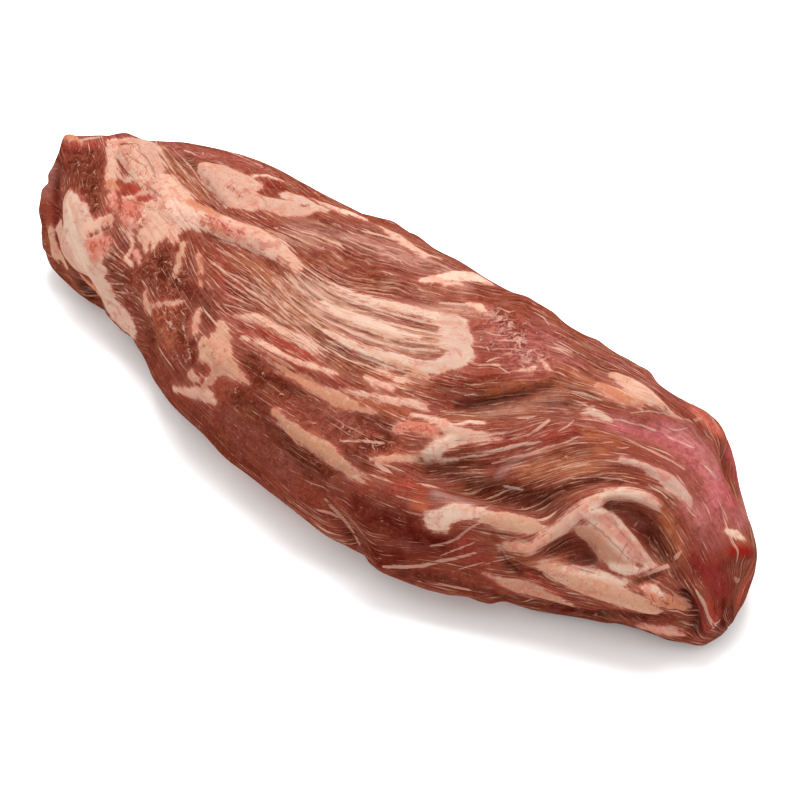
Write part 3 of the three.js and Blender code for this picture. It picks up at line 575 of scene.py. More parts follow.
# Relief beyond the frame's solid: height in mm, then points as (x, y, half width). Grooves are negative.
RELIEF = [
    (-2.2, [(458, 408, 4), (482, 404, 6), (505, 400, 7), (528, 394, 6), (550, 387, 4)]),
    (1.5, [(470, 396, 6), (500, 390, 6), (530, 383, 6), (556, 378, 5)]),
    (2.2, [(450, 420, 7), (480, 417, 9), (515, 411, 9), (545, 402, 8), (570, 398, 6)]),
    (-2.6, [(428, 472, 7), (455, 482, 8), (485, 494, 9), (515, 502, 8), (542, 505, 6)]),
    (-2.2, [(545, 500, 5), (572, 488, 5), (600, 480, 4), (620, 482, 3)]),
    (1.6, [(440, 500, 7), (470, 507, 8), (500, 515, 8), (530, 522, 6)]),
    (-1.5, [(438, 541, 4), (455, 538, 4), (470, 530, 4), (488, 531, 4), (510, 538, 4), (524, 544, 3)]),
    (-3.0, [(500, 549, 3.5), (508, 562, 4), (520, 570, 4), (540, 576, 3)]),
    (1.6, [(527, 553, 4), (547, 539, 5), (560, 530, 6), (585, 509, 7), (605, 497, 7), (625, 493, 6),
        (645, 497, 6), (658, 505, 5)]),
    (-2.9, [(612, 505, 6), (626, 512, 8), (641, 525, 9), (654, 541, 10), (664, 556, 9)]),
    (1.6, [(596, 520, 10), (610, 532, 11), (625, 547, 11), (640, 558, 8)]),
    (-2.4, [(553, 549, 5), (570, 544, 8), (586, 548, 8)]),
    (-2.4, [(578, 558, 6), (588, 561, 5)]),
    (2.0, [(560, 570, 8), (590, 583, 10), (620, 594, 10), (648, 603, 8)]),
    (-2.4, [(640, 583, 3), (655, 577, 3), (668, 572, 4), (680, 578, 5)]),
    (-5.0, [(684, 594, 4), (690, 604, 5), (695, 615, 5), (697, 628, 5)]),
    (-3.0, [(555, 606, 3), (580, 611, 4), (610, 615, 4), (640, 619, 4), (665, 619, 3)]),
    (-2.0, [(460, 590, 3), (500, 598, 3), (540, 602, 3)]),
    (2.2, [(700, 590, 5), (706, 606, 5), (706, 622, 5), (700, 634, 4)]),
    (2.4, [(736, 551, 5), (741, 551, 6), (748, 551, 6)]),
    (-0.9, [(726, 568, 4), (738, 566, 4)]),
    (1.6, [(640, 590, 6), (655, 596, 6), (670, 603, 6)]),
    (-1.6, [(312, 468, 3), (320, 488, 4), (334, 510, 5), (347, 526, 5), (357, 544, 4)]),
    (1.6, [(330, 486, 7), (350, 508, 8), (372, 528, 9)]),
    (-1.0, [(60, 163, 3), (58, 190, 4), (58, 210, 3), (57, 222, 2)]),
    (-2.6, [(66, 264, 3), (76, 277, 4), (86, 291, 5), (96, 298, 4)]),
    (-2.0, [(138, 316, 3), (146, 328, 4), (152, 338, 4)]),
    (3.2, [(72, 156, 12), (90, 154, 12), (112, 152, 12), (140, 154, 12)]),
    (2.5, [(70, 148, 5), (73, 150, 5)]),
    (2.8, [(47, 177, 6), (43, 186, 6)]),
    (-3.2, [(39, 228, 9), (44, 242, 8)]),
    (2.0, [(112, 312, 7), (124, 326, 7)]),
    (2.0, [(530, 298, 10), (550, 310, 10)]),
    (-2.0, [(622, 630, 8), (645, 636, 8)]),
    (2.4, [(690, 408, 5), (703, 416, 6), (715, 426, 6), (726, 440, 5)]),
    (-1.4, [(684, 414, 3), (697, 424, 3), (708, 434, 3)]),
    (3.0, [(70, 128, 8), (84, 130, 9), (102, 131, 9), (120, 133, 9)]),
    (-4.5, [(140, 350, 10), (158, 380, 12)]),
    (2.5, [(385, 556, 12), (430, 574, 12), (480, 590, 10)]),
    (1.6, [(612, 362, 12), (636, 376, 12), (656, 392, 8)]),
    (1.0, [(376, 220, 12), (386, 224, 12)]),
    (2.2, [(396, 228, 12), (410, 236, 10)]),
    (-1.0, [(262, 166, 8), (285, 176, 9)]),
    (-6.5, [(736, 462, 12), (741, 484, 12)]),
    (2.0, [(704, 640, 8), (716, 634, 9), (726, 620, 8)]),
    (-1.0, [(205, 236, 3), (222, 241, 4), (245, 250, 4), (262, 257, 3)]),
    (1.6, [(170, 208, 9), (200, 216, 9), (235, 230, 8), (265, 243, 7)]),
    (-1.6, [(158, 142, 4), (178, 155, 4), (195, 172, 4), (210, 190, 4), (224, 206, 3)]),
    (1.4, [(206, 168, 8), (230, 186, 9), (258, 200, 7), (295, 208, 5)]),
    (-1.4, [(270, 262, 3), (290, 282, 3), (320, 300, 3)]),
    (1.2, [(300, 300, 6), (350, 322, 7), (410, 340, 8), (450, 346, 8)]),
    (-1.8, [(310, 330, 4), (335, 350, 5), (370, 364, 5), (400, 372, 4)]),
    (-1.5, [(250, 358, 3), (290, 374, 3), (335, 388, 4)]),
    (1.0, [(262, 350, 4), (300, 366, 4), (345, 384, 4)]),
    (1.5, [(276, 415, 5), (305, 440, 6), (340, 466, 5)]),
    (1.2, [(443, 426, 5), (458, 434, 7), (440, 448, 7)]),
    (-1.5, [(420, 462, 4), (450, 466, 4), (490, 468, 4), (530, 462, 4)]),
    (1.3, [(450, 452, 4), (500, 446, 4), (545, 438, 4), (575, 432, 4)]),
    (1.2, [(590, 408, 5), (640, 414, 6), (690, 428, 6)]),
    (1.6, [(616, 376, 5), (640, 390, 6), (664, 408, 4)]),
    (-1.3, [(566, 388, 3), (590, 396, 3), (612, 407, 3), (640, 411, 3), (668, 414, 3)]),
    (1.2, [(622, 459, 4), (648, 467, 4), (672, 481, 5), (689, 500, 4)]),
    (-1.3, [(620, 470, 4), (645, 477, 4), (666, 490, 4), (680, 508, 4)]),
    (-1.4, [(668, 505, 4), (672, 525, 4), (670, 545, 4)]),
    (1.8, [(215, 350, 8), (225, 362, 8)]),
    (2.0, [(600, 344, 8), (625, 358, 8), (648, 374, 6)]),
    (2.0, [(375, 560, 6), (410, 575, 7), (455, 588, 7), (490, 598, 5)]),
    (-2.5, [(738, 470, 10), (742, 490, 9)]),
    (-0.7, [(736, 456, 10), (742, 478, 12), (745, 500, 8)]),
]

# Low relief everywhere, in mm: bundles of fibres, with their height and their length and width, and swells,
# with their height and size
BUNDLES = [(0.35, (18, 4.0)), (0.30, (40, 8.0))]
SWELLS = (0.45, 16)
FAT_HEIGHT = 0.5  # how far clear fat stands out

# Thin lines: tone from 0, pink, to 1, white, or negative for a dark line, painted shade where it lies in a
# groove, then (x, y, half width)
THREADS = [
    (0.8, [(216, 248, 0.32), (230, 256, 0.64), (246, 266, 0.32)]),
    (0.6, [(222, 270, 0.32), (240, 278, 0.8), (262, 290, 0.32)]),
    (0.6, [(222, 278, 0.24), (236, 288, 0.64), (250, 297, 0.32)]),
    (0.7, [(222, 304, 0.4), (238, 308, 0.72), (254, 313, 0.4)]),
    (0.3, [(224, 294, 0.32), (240, 300, 0.64), (256, 308, 0.32)]),
    (0.8, [(290, 338, 0.32), (304, 342, 0.8), (316, 348, 0.8), (326, 358, 0.32)]),
    (0.5, [(100, 282, 0.32), (112, 284, 0.8), (124, 284, 0.32)]),
    (0.5, [(114, 272, 0.24), (124, 276, 0.64), (130, 280, 0.24)]),
    (0.5, [(112, 291, 0.24), (124, 293, 0.72), (134, 293, 0.24)]),
    (0.9, [(498, 366, 0.32), (504, 370, 0.72), (510, 374, 0.24)]),
    (0.8, [(548, 346, 0.3), (560, 350, 0.9), (574, 358, 0.3)]),
    (0.7, [(556, 340, 0.3), (566, 346, 0.8), (580, 354, 0.3)]),
    (0.8, [(500, 308, 0.3), (508, 312, 0.9), (516, 311, 0.3)]),
    (0.8, [(534, 312, 0.3), (544, 318, 0.8), (550, 326, 0.3)]),
    (0.8, [(484, 332, 0.3), (496, 335, 0.8), (508, 336, 0.3)]),
    (0.9, [(486, 346, 0.32), (489, 351, 0.8), (492, 355, 0.32)]),
    (0.9, [(486, 362, 0.4), (492, 359, 1.04), (500, 357, 0.48)]),
    (1.0, [(518, 382, 0.24), (528, 385, 0.64), (540, 380, 0.32)]),
    (0.8, [(464, 396, 0.32), (476, 394, 0.64), (490, 395, 0.24)]),
    (1.0, [(440, 411, 0.32), (450, 413, 0.72), (466, 411, 0.32)]),
    (1.0, [(570, 391, 0.32), (582, 393, 0.8), (596, 398, 0.8), (602, 401, 0.4)]),
    (0.9, [(572, 400, 0.32), (584, 404, 0.8), (592, 409, 0.4)]),
    (0.9, [(606, 386, 0.32), (618, 390, 0.72), (630, 396, 0.72), (640, 404, 0.32)]),
    (0.9, [(602, 392, 0.32), (614, 399, 0.72), (626, 406, 0.32)]),
    (0.8, [(612, 383, 0.32), (626, 391, 0.64), (636, 400, 0.32)]),
    (0.9, [(630, 413, 0.32), (650, 411, 0.64), (668, 414, 0.32)]),
    (1.0, [(614, 420, 0.4), (630, 423, 0.8), (642, 426, 0.56), (654, 431, 0.32)]),
    (0.8, [(668, 428, 0.24), (676, 431, 0.64), (688, 428, 0.32)]),
    (0.7, [(664, 434, 0.24), (680, 442, 0.72), (694, 448, 0.32)]),
    (0.7, [(558, 432, 0.32), (568, 426, 0.72), (574, 420, 0.4)]),
    (0.8, [(558, 446, 0.24), (570, 441, 0.72), (580, 436, 0.24)]),
    (0.6, [(612, 448, 0.24), (622, 448, 0.72), (630, 447, 0.24)]),
    (0.7, [(600, 443, 0.24), (608, 442, 0.56), (614, 442, 0.24)]),
    (0.8, [(560, 470, 0.24), (576, 466, 0.56), (590, 463, 0.24)]),
    (0.6, [(570, 479, 0.32), (590, 477, 0.72), (616, 479, 0.64), (640, 484, 0.24)]),
    (0.8, [(648, 484, 0.24), (656, 490, 0.72), (664, 496, 0.24)]),
    (1.0, [(706, 466, 0.24), (712, 472, 0.8), (716, 478, 0.32)]),
    (0.9, [(676, 474, 0.32), (682, 482, 0.72), (688, 490, 0.32)]),
    (0.8, [(686, 506, 0.32), (692, 514, 0.8), (698, 518, 0.32)]),
    (0.6, [(702, 500, 0.24), (708, 510, 0.64), (712, 522, 0.24)]),
    (0.6, [(718, 500, 0.24), (724, 512, 0.64), (728, 522, 0.24)]),
    (0.5, [(500, 460, 0.32), (525, 455, 0.64), (545, 448, 0.64), (570, 441, 0.32)]),
    (0.4, [(395, 496, 0.32), (410, 500, 0.72), (425, 504, 0.32)]),
    (0.6, [(440, 556, 0.32), (460, 548, 0.64), (480, 540, 0.32)]),
    (0.5, [(480, 566, 0.24), (500, 560, 0.64), (520, 556, 0.32)]),
    (0.6, [(452, 572, 0.32), (470, 566, 0.64), (486, 562, 0.32)]),
    (0.7, [(570, 588, 0.32), (590, 596, 0.64), (612, 602, 0.32)]),
    (-0.8, [(628, 590, 0.4), (640, 594, 0.96), (652, 600, 0.4)]),
    (-0.7, [(560, 560, 0.4), (575, 569, 0.88), (596, 574, 0.4)]),
    (-0.7, [(540, 570, 0.4), (552, 578, 0.88), (566, 586, 0.4)]),
    (-0.6, [(88, 238, 0.4), (98, 234, 0.88), (108, 229, 0.72), (112, 224, 0.32)]),
    (-0.4, [(230, 184, 0.4), (234, 190, 0.96), (238, 195, 0.4)]),
    (-0.5, [(126, 154, 0.3), (134, 160, 0.7), (144, 166, 0.7), (152, 178, 0.3)]),
    (-0.4, [(132, 172, 0.3), (142, 176, 0.6), (150, 186, 0.3)]),
    (-0.6, [(136, 150, 0.3), (146, 158, 0.9), (152, 168, 0.9), (156, 178, 0.4)]),
    (-0.5, [(118, 160, 0.4), (126, 172, 0.9), (136, 180, 0.4)]),
    (-0.6, [(144, 184, 0.4), (152, 190, 0.9), (160, 196, 0.9), (164, 204, 0.4)]),
    (-0.4, [(120, 196, 0.4), (132, 202, 0.9), (146, 206, 0.8), (156, 212, 0.4)]),
    (-0.5, [(586, 520, 0.4), (602, 532, 0.9), (618, 548, 0.8), (630, 560, 0.4)]),
    (-0.4, [(604, 516, 0.4), (618, 530, 0.8), (632, 546, 0.4)]),
    (-0.4, [(122, 152, 0.3), (128, 162, 0.6), (134, 172, 0.3)]),
    (-0.4, [(254, 192, 0.32), (260, 195, 0.88), (266, 197, 0.32)]),
    (0.9, [(156, 146, 0.24), (166, 160, 0.72), (176, 174, 0.24)]),
    (0.8, [(165, 148, 0.24), (180, 166, 0.72), (192, 182, 0.24)]),
    (0.7, [(172, 148, 0.24), (190, 166, 0.72), (204, 186, 0.24)]),
    # These three dark lines are painted shade along grooves
    (-0.8, [(176, 158, 0.4), (192, 176, 0.88), (206, 194, 0.4)]),
    (-0.7, [(206, 234, 0.32), (226, 241, 0.8), (246, 250, 0.8), (266, 258, 0.32)]),
    (-0.8, [(540, 568, 0.32), (520, 572, 0.72), (506, 560, 0.72), (500, 550, 0.32)]),
    (1.0, [(300, 264, 0.5), (322, 279, 1.0), (345, 290, 1.4), (377, 302, 1.2)]),
    (1.0, [(300, 272, 0.6), (318, 284, 1.1), (333, 293, 1.4), (360, 303, 1.3), (390, 313, 1.6),
        (420, 321, 1.6), (446, 327, 1.2)]),
    (0.9, [(292, 272, 0.6), (310, 289, 1.2), (330, 303, 1.6), (345, 312, 1.6)]),
    (0.9, [(284, 272, 0.5), (300, 290, 1.1), (318, 306, 1.4), (336, 318, 1.2)]),
    (0.9, [(320, 301, 0.5), (345, 311, 0.9), (370, 318, 1.2), (395, 325, 1.4), (420, 331, 1.4),
        (447, 336, 1.2)]),
    (0.8, [(312, 312, 0.5), (330, 322, 1.1), (352, 333, 1.5), (380, 343, 1.5), (410, 349, 1.5),
        (440, 351, 1.0)]),
    (0.9, [(404, 341, 0.6), (425, 344, 1.1), (446, 344, 1.0)]),
    (0.8, [(304, 318, 0.5), (318, 328, 1.1), (334, 336, 1.3), (350, 344, 0.8)]),
    (0.7, [(276, 284, 0.5), (292, 302, 1.0), (308, 317, 1.0), (322, 328, 0.5)]),
    (0.6, [(270, 294, 0.5), (284, 311, 0.9), (298, 325, 0.9), (312, 338, 0.5)]),
    (0.8, [(272, 276, 0.4), (286, 290, 0.9), (298, 302, 0.6)]),
    (0.8, [(308, 340, 0.5), (326, 350, 1.2), (348, 360, 1.0), (370, 367, 0.5)]),
    (0.7, [(352, 354, 0.5), (372, 361, 1.0), (394, 369, 1.1), (414, 375, 0.6)]),
    (0.6, [(356, 362, 0.5), (378, 370, 1.0), (402, 379, 1.0), (420, 384, 0.5)]),
    (-0.7, [(312, 280, 0.4), (334, 297, 0.8), (362, 309, 0.8), (392, 319, 0.8), (424, 326, 0.5)]),
    (-0.6, [(298, 284, 0.4), (318, 299, 0.7), (340, 308, 0.7), (362, 315, 0.4)]),
    (-0.7, [(324, 316, 0.4), (344, 325, 0.7), (372, 335, 0.9), (400, 343, 0.9), (436, 347, 0.5)]),
    (-0.7, [(310, 325, 0.4), (332, 340, 0.9), (352, 351, 0.9), (380, 362, 0.9), (398, 369, 0.4)]),
    (-0.6, [(352, 329, 0.3), (378, 338, 0.6), (400, 341, 0.3)]),
    (-0.6, [(290, 296, 0.4), (306, 310, 0.8), (322, 322, 0.5)]),
]


def camera_axes():
    """The camera's back, right and up directions."""
    back = np.array([math.sin(AZIMUTH) * math.cos(ELEVATION), -math.cos(AZIMUTH) * math.cos(ELEVATION),
                     math.sin(ELEVATION)])
    right = np.array([math.cos(AZIMUTH), math.sin(AZIMUTH), 0.0])
    return back, right, np.cross(back, right)


BACK, RIGHT, UP = camera_axes()
EYE = TARGET + BACK * DISTANCE


def array_of(collection, name, width, kind=np.float32):
    """One attribute of a mesh's vertices or edges as an array."""
    values = np.empty(len(collection) * width, kind)
    collection.foreach_get(name, values)
    return values.reshape(-1, width) if width > 1 else values


def quad_solid():
    """The frame's solid as a piece of its own, made of quads."""
    bm = bmesh.new()
    bm.from_mesh(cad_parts["beef_cut"].data)
    bmesh.ops.remove_doubles(bm, verts=bm.verts, dist=1e-6)
    bmesh.ops.join_triangles(bm, faces=bm.faces, angle_face_threshold=math.radians(70),
                             angle_shape_threshold=math.radians(60))
    mesh = bpy.data.meshes.new("marbled_beef")
    bm.to_mesh(mesh)
    bm.free()
    piece = bpy.data.objects.new("marbled_beef", mesh)
    bpy.context.scene.collection.objects.link(piece)
    return piece


def subdivide(piece):
    """One round of smooth subdivision, applied. Attributes of the points go along."""
    subdivision = piece.modifiers.new("fine", "SUBSURF")
    subdivision.levels = subdivision.render_levels = 1
    depsgraph = bpy.context.evaluated_depsgraph_get()
    fine = bpy.data.meshes.new_from_object(piece.evaluated_get(depsgraph))
    piece.modifiers.clear()
    coarse, piece.data = piece.data, fine
    bpy.data.meshes.remove(coarse)


class Surface:
    """A mesh's points, normals and edges, and what can be asked of them."""
    RAY_STEP, RAY_STEPS = 3 * MM, 50  # how a ray that misses is searched for the nearest point
    LEAST_FACING = 0.45  # strokes get wider on slopes, but not on steeper ones than this

    def __init__(self, mesh):
        self.mesh = mesh
        self.points = array_of(mesh.vertices, "co", 3).astype(float)
        self.normals = array_of(mesh.vertices, "normal", 3).astype(float)
        self.edges = array_of(mesh.edges, "vertices", 2, np.int32)
        self.count = len(self.points)
        self.tree = BVHTree.FromPolygons(self.points.tolist(), [p.vertices[:] for p in mesh.polygons])
        ends = self.edges.ravel()
        self.degree = np.bincount(ends, minlength=self.count).astype(float)

    def spread(self, values, rounds):
        """Values averaged with their neighbours, so many times."""
        first, second = self.edges.T
        values = values.reshape(self.count, -1).astype(float)
        for _ in range(rounds):
            total = np.empty_like(values)
            for k in range(values.shape[1]):
                column = values[:, k]
                total[:, k] = (np.bincount(first, column[second], self.count)
                               + np.bincount(second, column[first], self.count))
            values = 0.5 * values + 0.5 * total / self.degree[:, None]
        return values

    def under_pixel(self, x, y):
        """The surface's point under a pixel of the photograph, or the nearest one to its ray."""
        ray = -BACK * FOCAL + RIGHT * (x - PHOTO_SIDE / 2) + UP * (PHOTO_SIDE / 2 - y)
        ray /= np.linalg.norm(ray)
        hit = self.tree.ray_cast(Vector(EYE), Vector(ray))
        if hit[0] is None:
            middle = np.dot(TARGET - EYE, ray)
            steps = range(-self.RAY_STEPS, self.RAY_STEPS + 1)
            beside = [EYE + ray * (middle + step * self.RAY_STEP) for step in steps]
            found = [self.tree.find_nearest(Vector(place)) for place in beside]
            hit = min(found, key=lambda nearest: nearest[3])
        return np.array(hit[0]), np.array(hit[1])

    def lay(self, points, stride=5):
        """A stroke's pixels as close points on the surface, with the half width in metres at each."""
        places, widths = [], []
        for start, end in zip(points[:-1], points[1:]):
            steps = max(1, int(math.dist(start[:2], end[:2]) / stride))
            for step in range(steps + (end is points[-1])):
                x, y, width = (a + (b - a) * step / steps for a, b in zip(start, end))
                place, normal = self.under_pixel(x, y)
                facing = max(float(normal @ BACK), self.LEAST_FACING)
                places.append(place)
                widths.append(width * PIXEL / math.sqrt(facing))
        return np.array(places), np.array(widths)

    def near(self, places, reach):
        """Indices of the points within reach of a laid stroke's box."""
        low, high = places.min(0) - reach, places.max(0) + reach
        return np.nonzero(((self.points > low) & (self.points < high)).all(1))[0]

    def distances(self, places, widths, reach):
        """For the points near a laid stroke: their indices, the distance to it and its half width there."""
        index = self.near(places, reach)
        points = self.points[index]
        best = np.full(len(index), 1e9)
        width = np.zeros(len(index))
        for start, end, width_a, width_b in zip(places[:-1], places[1:], widths[:-1], widths[1:]):
            along = end - start
            share = np.clip((points - start) @ along / max(along @ along, 1e-12), 0, 1)
            gap = np.linalg.norm(points - start - share[:, None] * along, axis=1)
            here = width_a + (width_b - width_a) * share
            closer = gap - here < best - width
            best[closer], width[closer] = gap[closer], here[closer]
        return index, best, width

    def slopes(self, along):
        """Each triangle's corners and area, and what each corner adds to the slope along and across
        the fibres."""
        self.mesh.calc_loop_triangles()
        corners = array_of(self.mesh.loop_triangles, "vertices", 3, np.int32)
        places = self.points[corners]
        face = np.cross(places[:, 1] - places[:, 0], places[:, 2] - places[:, 0])
        area = np.linalg.norm(face, axis=1) / 2 + 1e-15
        face /= 2 * area[:, None]
        way = along[corners].sum(1)
        way -= face * (way * face).sum(1)[:, None]
        way /= np.linalg.norm(way, axis=1)[:, None] + 1e-12
        across = np.cross(face, way)
        opposite = places[:, [2, 0, 1]] - places[:, [1, 2, 0]]
        slope = np.cross(face[:, None], opposite) / (2 * area[:, None, None])
        return corners, area, (slope * way[:, None]).sum(2), (slope * across[:, None]).sum(2)

    def coordinate(self, corners, area, rise, level, stiffness, rounds=900, accuracy=1e-9):
        """The value that rises by 1 in one direction and stays level in the other, the stiffer the more
        surely. It is found by conjugate gradients."""
        def scatter(values):
            return np.bincount(corners.ravel(), values.ravel(), self.count)

        def pull(value):
            here = value[corners]
            rising = area * (here * rise).sum(1)
            levelling = area * stiffness * (here * level).sum(1)
            return scatter(rising[:, None] * rise + levelling[:, None] * level)

        scale = scatter(area[:, None] * (rise ** 2 + stiffness * level ** 2)) + 1e-12
        value = np.zeros(self.count)
        rest = scatter(area[:, None] * rise)
        slope = rest / scale
        aim, power = slope.copy(), rest @ slope
        limit = power * accuracy
        for _ in range(rounds):
            step = pull(aim)
            length = power / (aim @ step)
            value += length * aim
            rest -= length * step
            slope = rest / scale
            power, before = rest @ slope, power
            if power < limit:
                break
            aim = slope + (power / before) * aim
        return value


def smoothstep(low, high, value):
    """A smooth step from 0 at low to 1 at high."""
    share = np.clip((value - low) / (high - low), 0, 1)
    return share * share * (3 - 2 * share)


def noise(points, scale, seed):
    """Smooth random values from -1 to 1 at points, with bumps of about the given size."""
    places = points / scale
    cell = np.floor(places).astype(np.int64)
    share = places - cell
    share = share * share * (3 - 2 * share)
    total = np.zeros(len(points))
    for corner in np.ndindex(*(2,) * points.shape[1]):
        mixed = np.full(len(points), seed * 374761393, np.int64)
        weight = np.ones(len(points))
        for axis, (step, prime) in enumerate(zip(corner, (668265263, 2147483647, 1274126177))):
            mixed += (cell[:, axis] + step) * prime
            weight *= share[:, axis] if step else 1 - share[:, axis]
        mixed = (mixed ^ (mixed >> 13)) * 1274126177
        mixed ^= mixed >> 16
        total += weight * ((mixed & 0xFFFF) / 32767.5 - 1)
    return total


def albedo(name, light=None):
    """The surface colour that shows as the named colour in the studio's light, less what its gloss adds.
    Given a point's lower light, it is paler: painted light that evens out the shade.
    """
    share = np.array(PALETTE[name], float) / 255
    shown = np.where(share <= 0.04045, share / 12.92, ((share + 0.055) / 1.055) ** 2.4)
    return np.maximum(shown - SHEEN, DARKEST) / (TOP_LIGHT if light is None else light)


def fibre_directions(surface):
    """The direction of the fibres at each point: that of the lines near it, and along the cut elsewhere."""
    REACH = 5 * MM
    LONGWAYS = (45 * MM) ** -4 * 30  # the pull along the cut, which wins far from the lines
    places, ways = [], []
    for line in FIBRES.values():
        laid, _ = surface.lay([(x, y, 1) for x, y in line])
        places.append((laid[1:] + laid[:-1]) / 2)
        ways.append(laid[1:] - laid[:-1])
    places, ways = np.concatenate(places), np.concatenate(ways)
    ways /= np.linalg.norm(ways, axis=1)[:, None] + 1e-12
    total = np.zeros((surface.count, 3))
    total[:, 0] = LONGWAYS
    for place, way in zip(places, ways):
        gap = ((surface.points - place) ** 2).sum(1) + REACH ** 2
        total += way * (gap ** -2)[:, None]
    total /= np.linalg.norm(total, axis=1)[:, None]
    total = surface.spread(total, 4)
    total -= surface.normals * (total * surface.normals).sum(1)[:, None]
    return total / (np.linalg.norm(total, axis=1)[:, None] + 1e-9)


def fibre_coordinates(surface):
    """Metres along and across the fibres, with the seam hidden in the middle of the sole, and how fast
    the one across rises at each point."""
    SEAM_Y, SEAM_TOP = 0.002, 0.026
    STIFFNESS = 18.0
    V_GAIN = 1.7  # the solution is this much too flat in most places
    corners, area, along, across = surface.slopes(fibre_directions(surface))
    places = surface.points[corners]
    crosses = (places[..., 1].min(1) < SEAM_Y) & (places[..., 1].max(1) > SEAM_Y)
    seam = crosses & (places[..., 2].mean(1) < SEAM_TOP)
    v = surface.coordinate(corners, np.where(seam, 0, area), across, along, STIFFNESS)
    climb = np.hypot((v[corners] * across).sum(1), (v[corners] * along).sum(1))
    weight = np.where(seam, 0, area)[:, None] * np.ones(3)
    total = np.bincount(corners.ravel(), (weight * climb[:, None]).ravel(), surface.count)
    climb = total / (np.bincount(corners.ravel(), weight.ravel(), surface.count) + 1e-12)
    u = surface.coordinate(corners, area, along, across, 1.0)
    return u, v * V_GAIN, surface.spread(climb * V_GAIN, 6)[:, 0]


def put(name, kind, values):
    """An attribute of the points, for the shader."""
    attribute = beef.data.attributes.new(name, kind, "POINT")
    key = {"FLOAT": "value", "FLOAT_VECTOR": "vector", "FLOAT_COLOR": "color"}[kind]
    attribute.data.foreach_set(key, np.ascontiguousarray(values, np.float32).ravel())


beef = quad_solid()
subdivide(beef)
u, v, climb = fibre_coordinates(Surface(beef.data))
put("flow", "FLOAT_VECTOR", np.stack([u, v, np.zeros_like(u)], 1) / MM)
put("climb", "FLOAT", climb)
subdivide(beef)
surface = Surface(beef.data)
u, v, _ = array_of(beef.data.attributes["flow"].data, "vector", 3).T * MM


def soft_share(places, widths, steepness=1.0, reach=2.2):
    """The points near a laid stroke, and its share in each: 1 in its middle, and less further off."""
    index, gap, width = surface.distances(places, widths, reach * widths.max())
    return index, np.exp(-(gap / width) ** 2 * steepness)


def relief_height():
    """How far each point moves out, in metres: the drawn relief, then low bundles of fibres and swells."""
    lift = np.zeros(surface.count)
    for height, points in RELIEF:
        index, share = soft_share(*surface.lay(points), steepness=0.9, reach=2.5)
        lift[index] += height * MM * share
    flow = np.stack([u, v], 1)
    for k, (height, bundle) in enumerate(BUNDLES):
        lift += height * MM * noise(flow / np.array(bundle), MM, SEED + k)
    height, size = SWELLS
    lift += height * MM * noise(surface.points, size * MM, SEED + len(BUNDLES))
    return lift


def move_out(height):
    """Moves the surface along its normals, but not up or down where it rests."""
    CONTACT_HEIGHT = 3 * MM
    above = smoothstep(0.0, CONTACT_HEIGHT, surface.points[:, 2])
    moved = surface.points + surface.normals * height[:, None]
    moved[:, 2] = surface.points[:, 2] + surface.normals[:, 2] * height * above
    moved[:, 2] = np.maximum(moved[:, 2], 0)
    beef.data.vertices.foreach_set("co", moved.astype(np.float32).ravel())
    beef.data.update()


move_out(relief_height())
surface = Surface(beef.data)

# The light that each point gets. Colours are divided by it, so faces that get less light are given paler
# colours, painted light that evens out their shade
upward = np.clip(surface.normals[:, 2], 0, 1)
light = (SIDE_LIGHT + (TOP_LIGHT - SIDE_LIGHT) * upward ** 0.8)[:, None]


class HiddenStrokes:
    """Seeded strokes along the fibres, on the sides that the photograph doesn't show. Facing is how far a
    point's normal leans to the camera, from -1 to 1."""
    STRIDE = 3 * MM
    START_FACING, END_FACING = -0.12, -0.05
    FULL_WIDTH_FACING = -0.45  # strokes have their full width where the surface faces away as far as this
    LEAST_WIDTH = 0.2  # and this share of it at the outline

    def __init__(self):
        self.random = np.random.default_rng(SEED)
        self.ways = fibre_directions(surface)
        self.corner = [p.vertices[0] for p in beef.data.polygons]
        hidden = surface.normals @ BACK < self.START_FACING
        self.starts = np.nonzero(hidden & (surface.points[:, 2] > 1 * MM))[0]

    def stroke(self, length, half_width):
        """The places and half widths of one stroke. It ends early where it would come into the
        photograph."""
        start = self.random.choice(self.starts)
        places, facing = [surface.points[start]], [surface.normals[start] @ BACK]
        for _ in range(int(length / self.STRIDE)):
            place, normal, face, _ = surface.tree.find_nearest(Vector(places[-1]))
            if np.array(normal) @ BACK > self.END_FACING:
                break
            ahead = np.array(place) + self.ways[self.corner[face]] * self.STRIDE
            places.append(np.array(surface.tree.find_nearest(Vector(ahead))[0]))
            facing.append(np.array(normal) @ BACK)
        places.append(places[-1] + 0.1 * MM)
        facing.append(facing[-1])
        taper = np.sin(np.pi * np.linspace(0.06, 0.94, len(places))) ** 0.7
        uneven = self.random.uniform(0.75, 1.25, len(places))
        away = smoothstep(0.0, -self.FULL_WIDTH_FACING, -np.array(facing))
        room = self.LEAST_WIDTH + (1 - self.LEAST_WIDTH) * away
        return np.array(places), half_width * taper * uneven * room

    def several(self, count, names, lengths, half_widths):
        """Strokes with a name drawn for each."""
        for _ in range(count):
            name = names[self.random.integers(len(names))]
            length, half_width = self.random.uniform(*lengths), self.random.uniform(*half_widths)
            yield name, self.stroke(length * MM, half_width * MM)


hidden = HiddenStrokes()


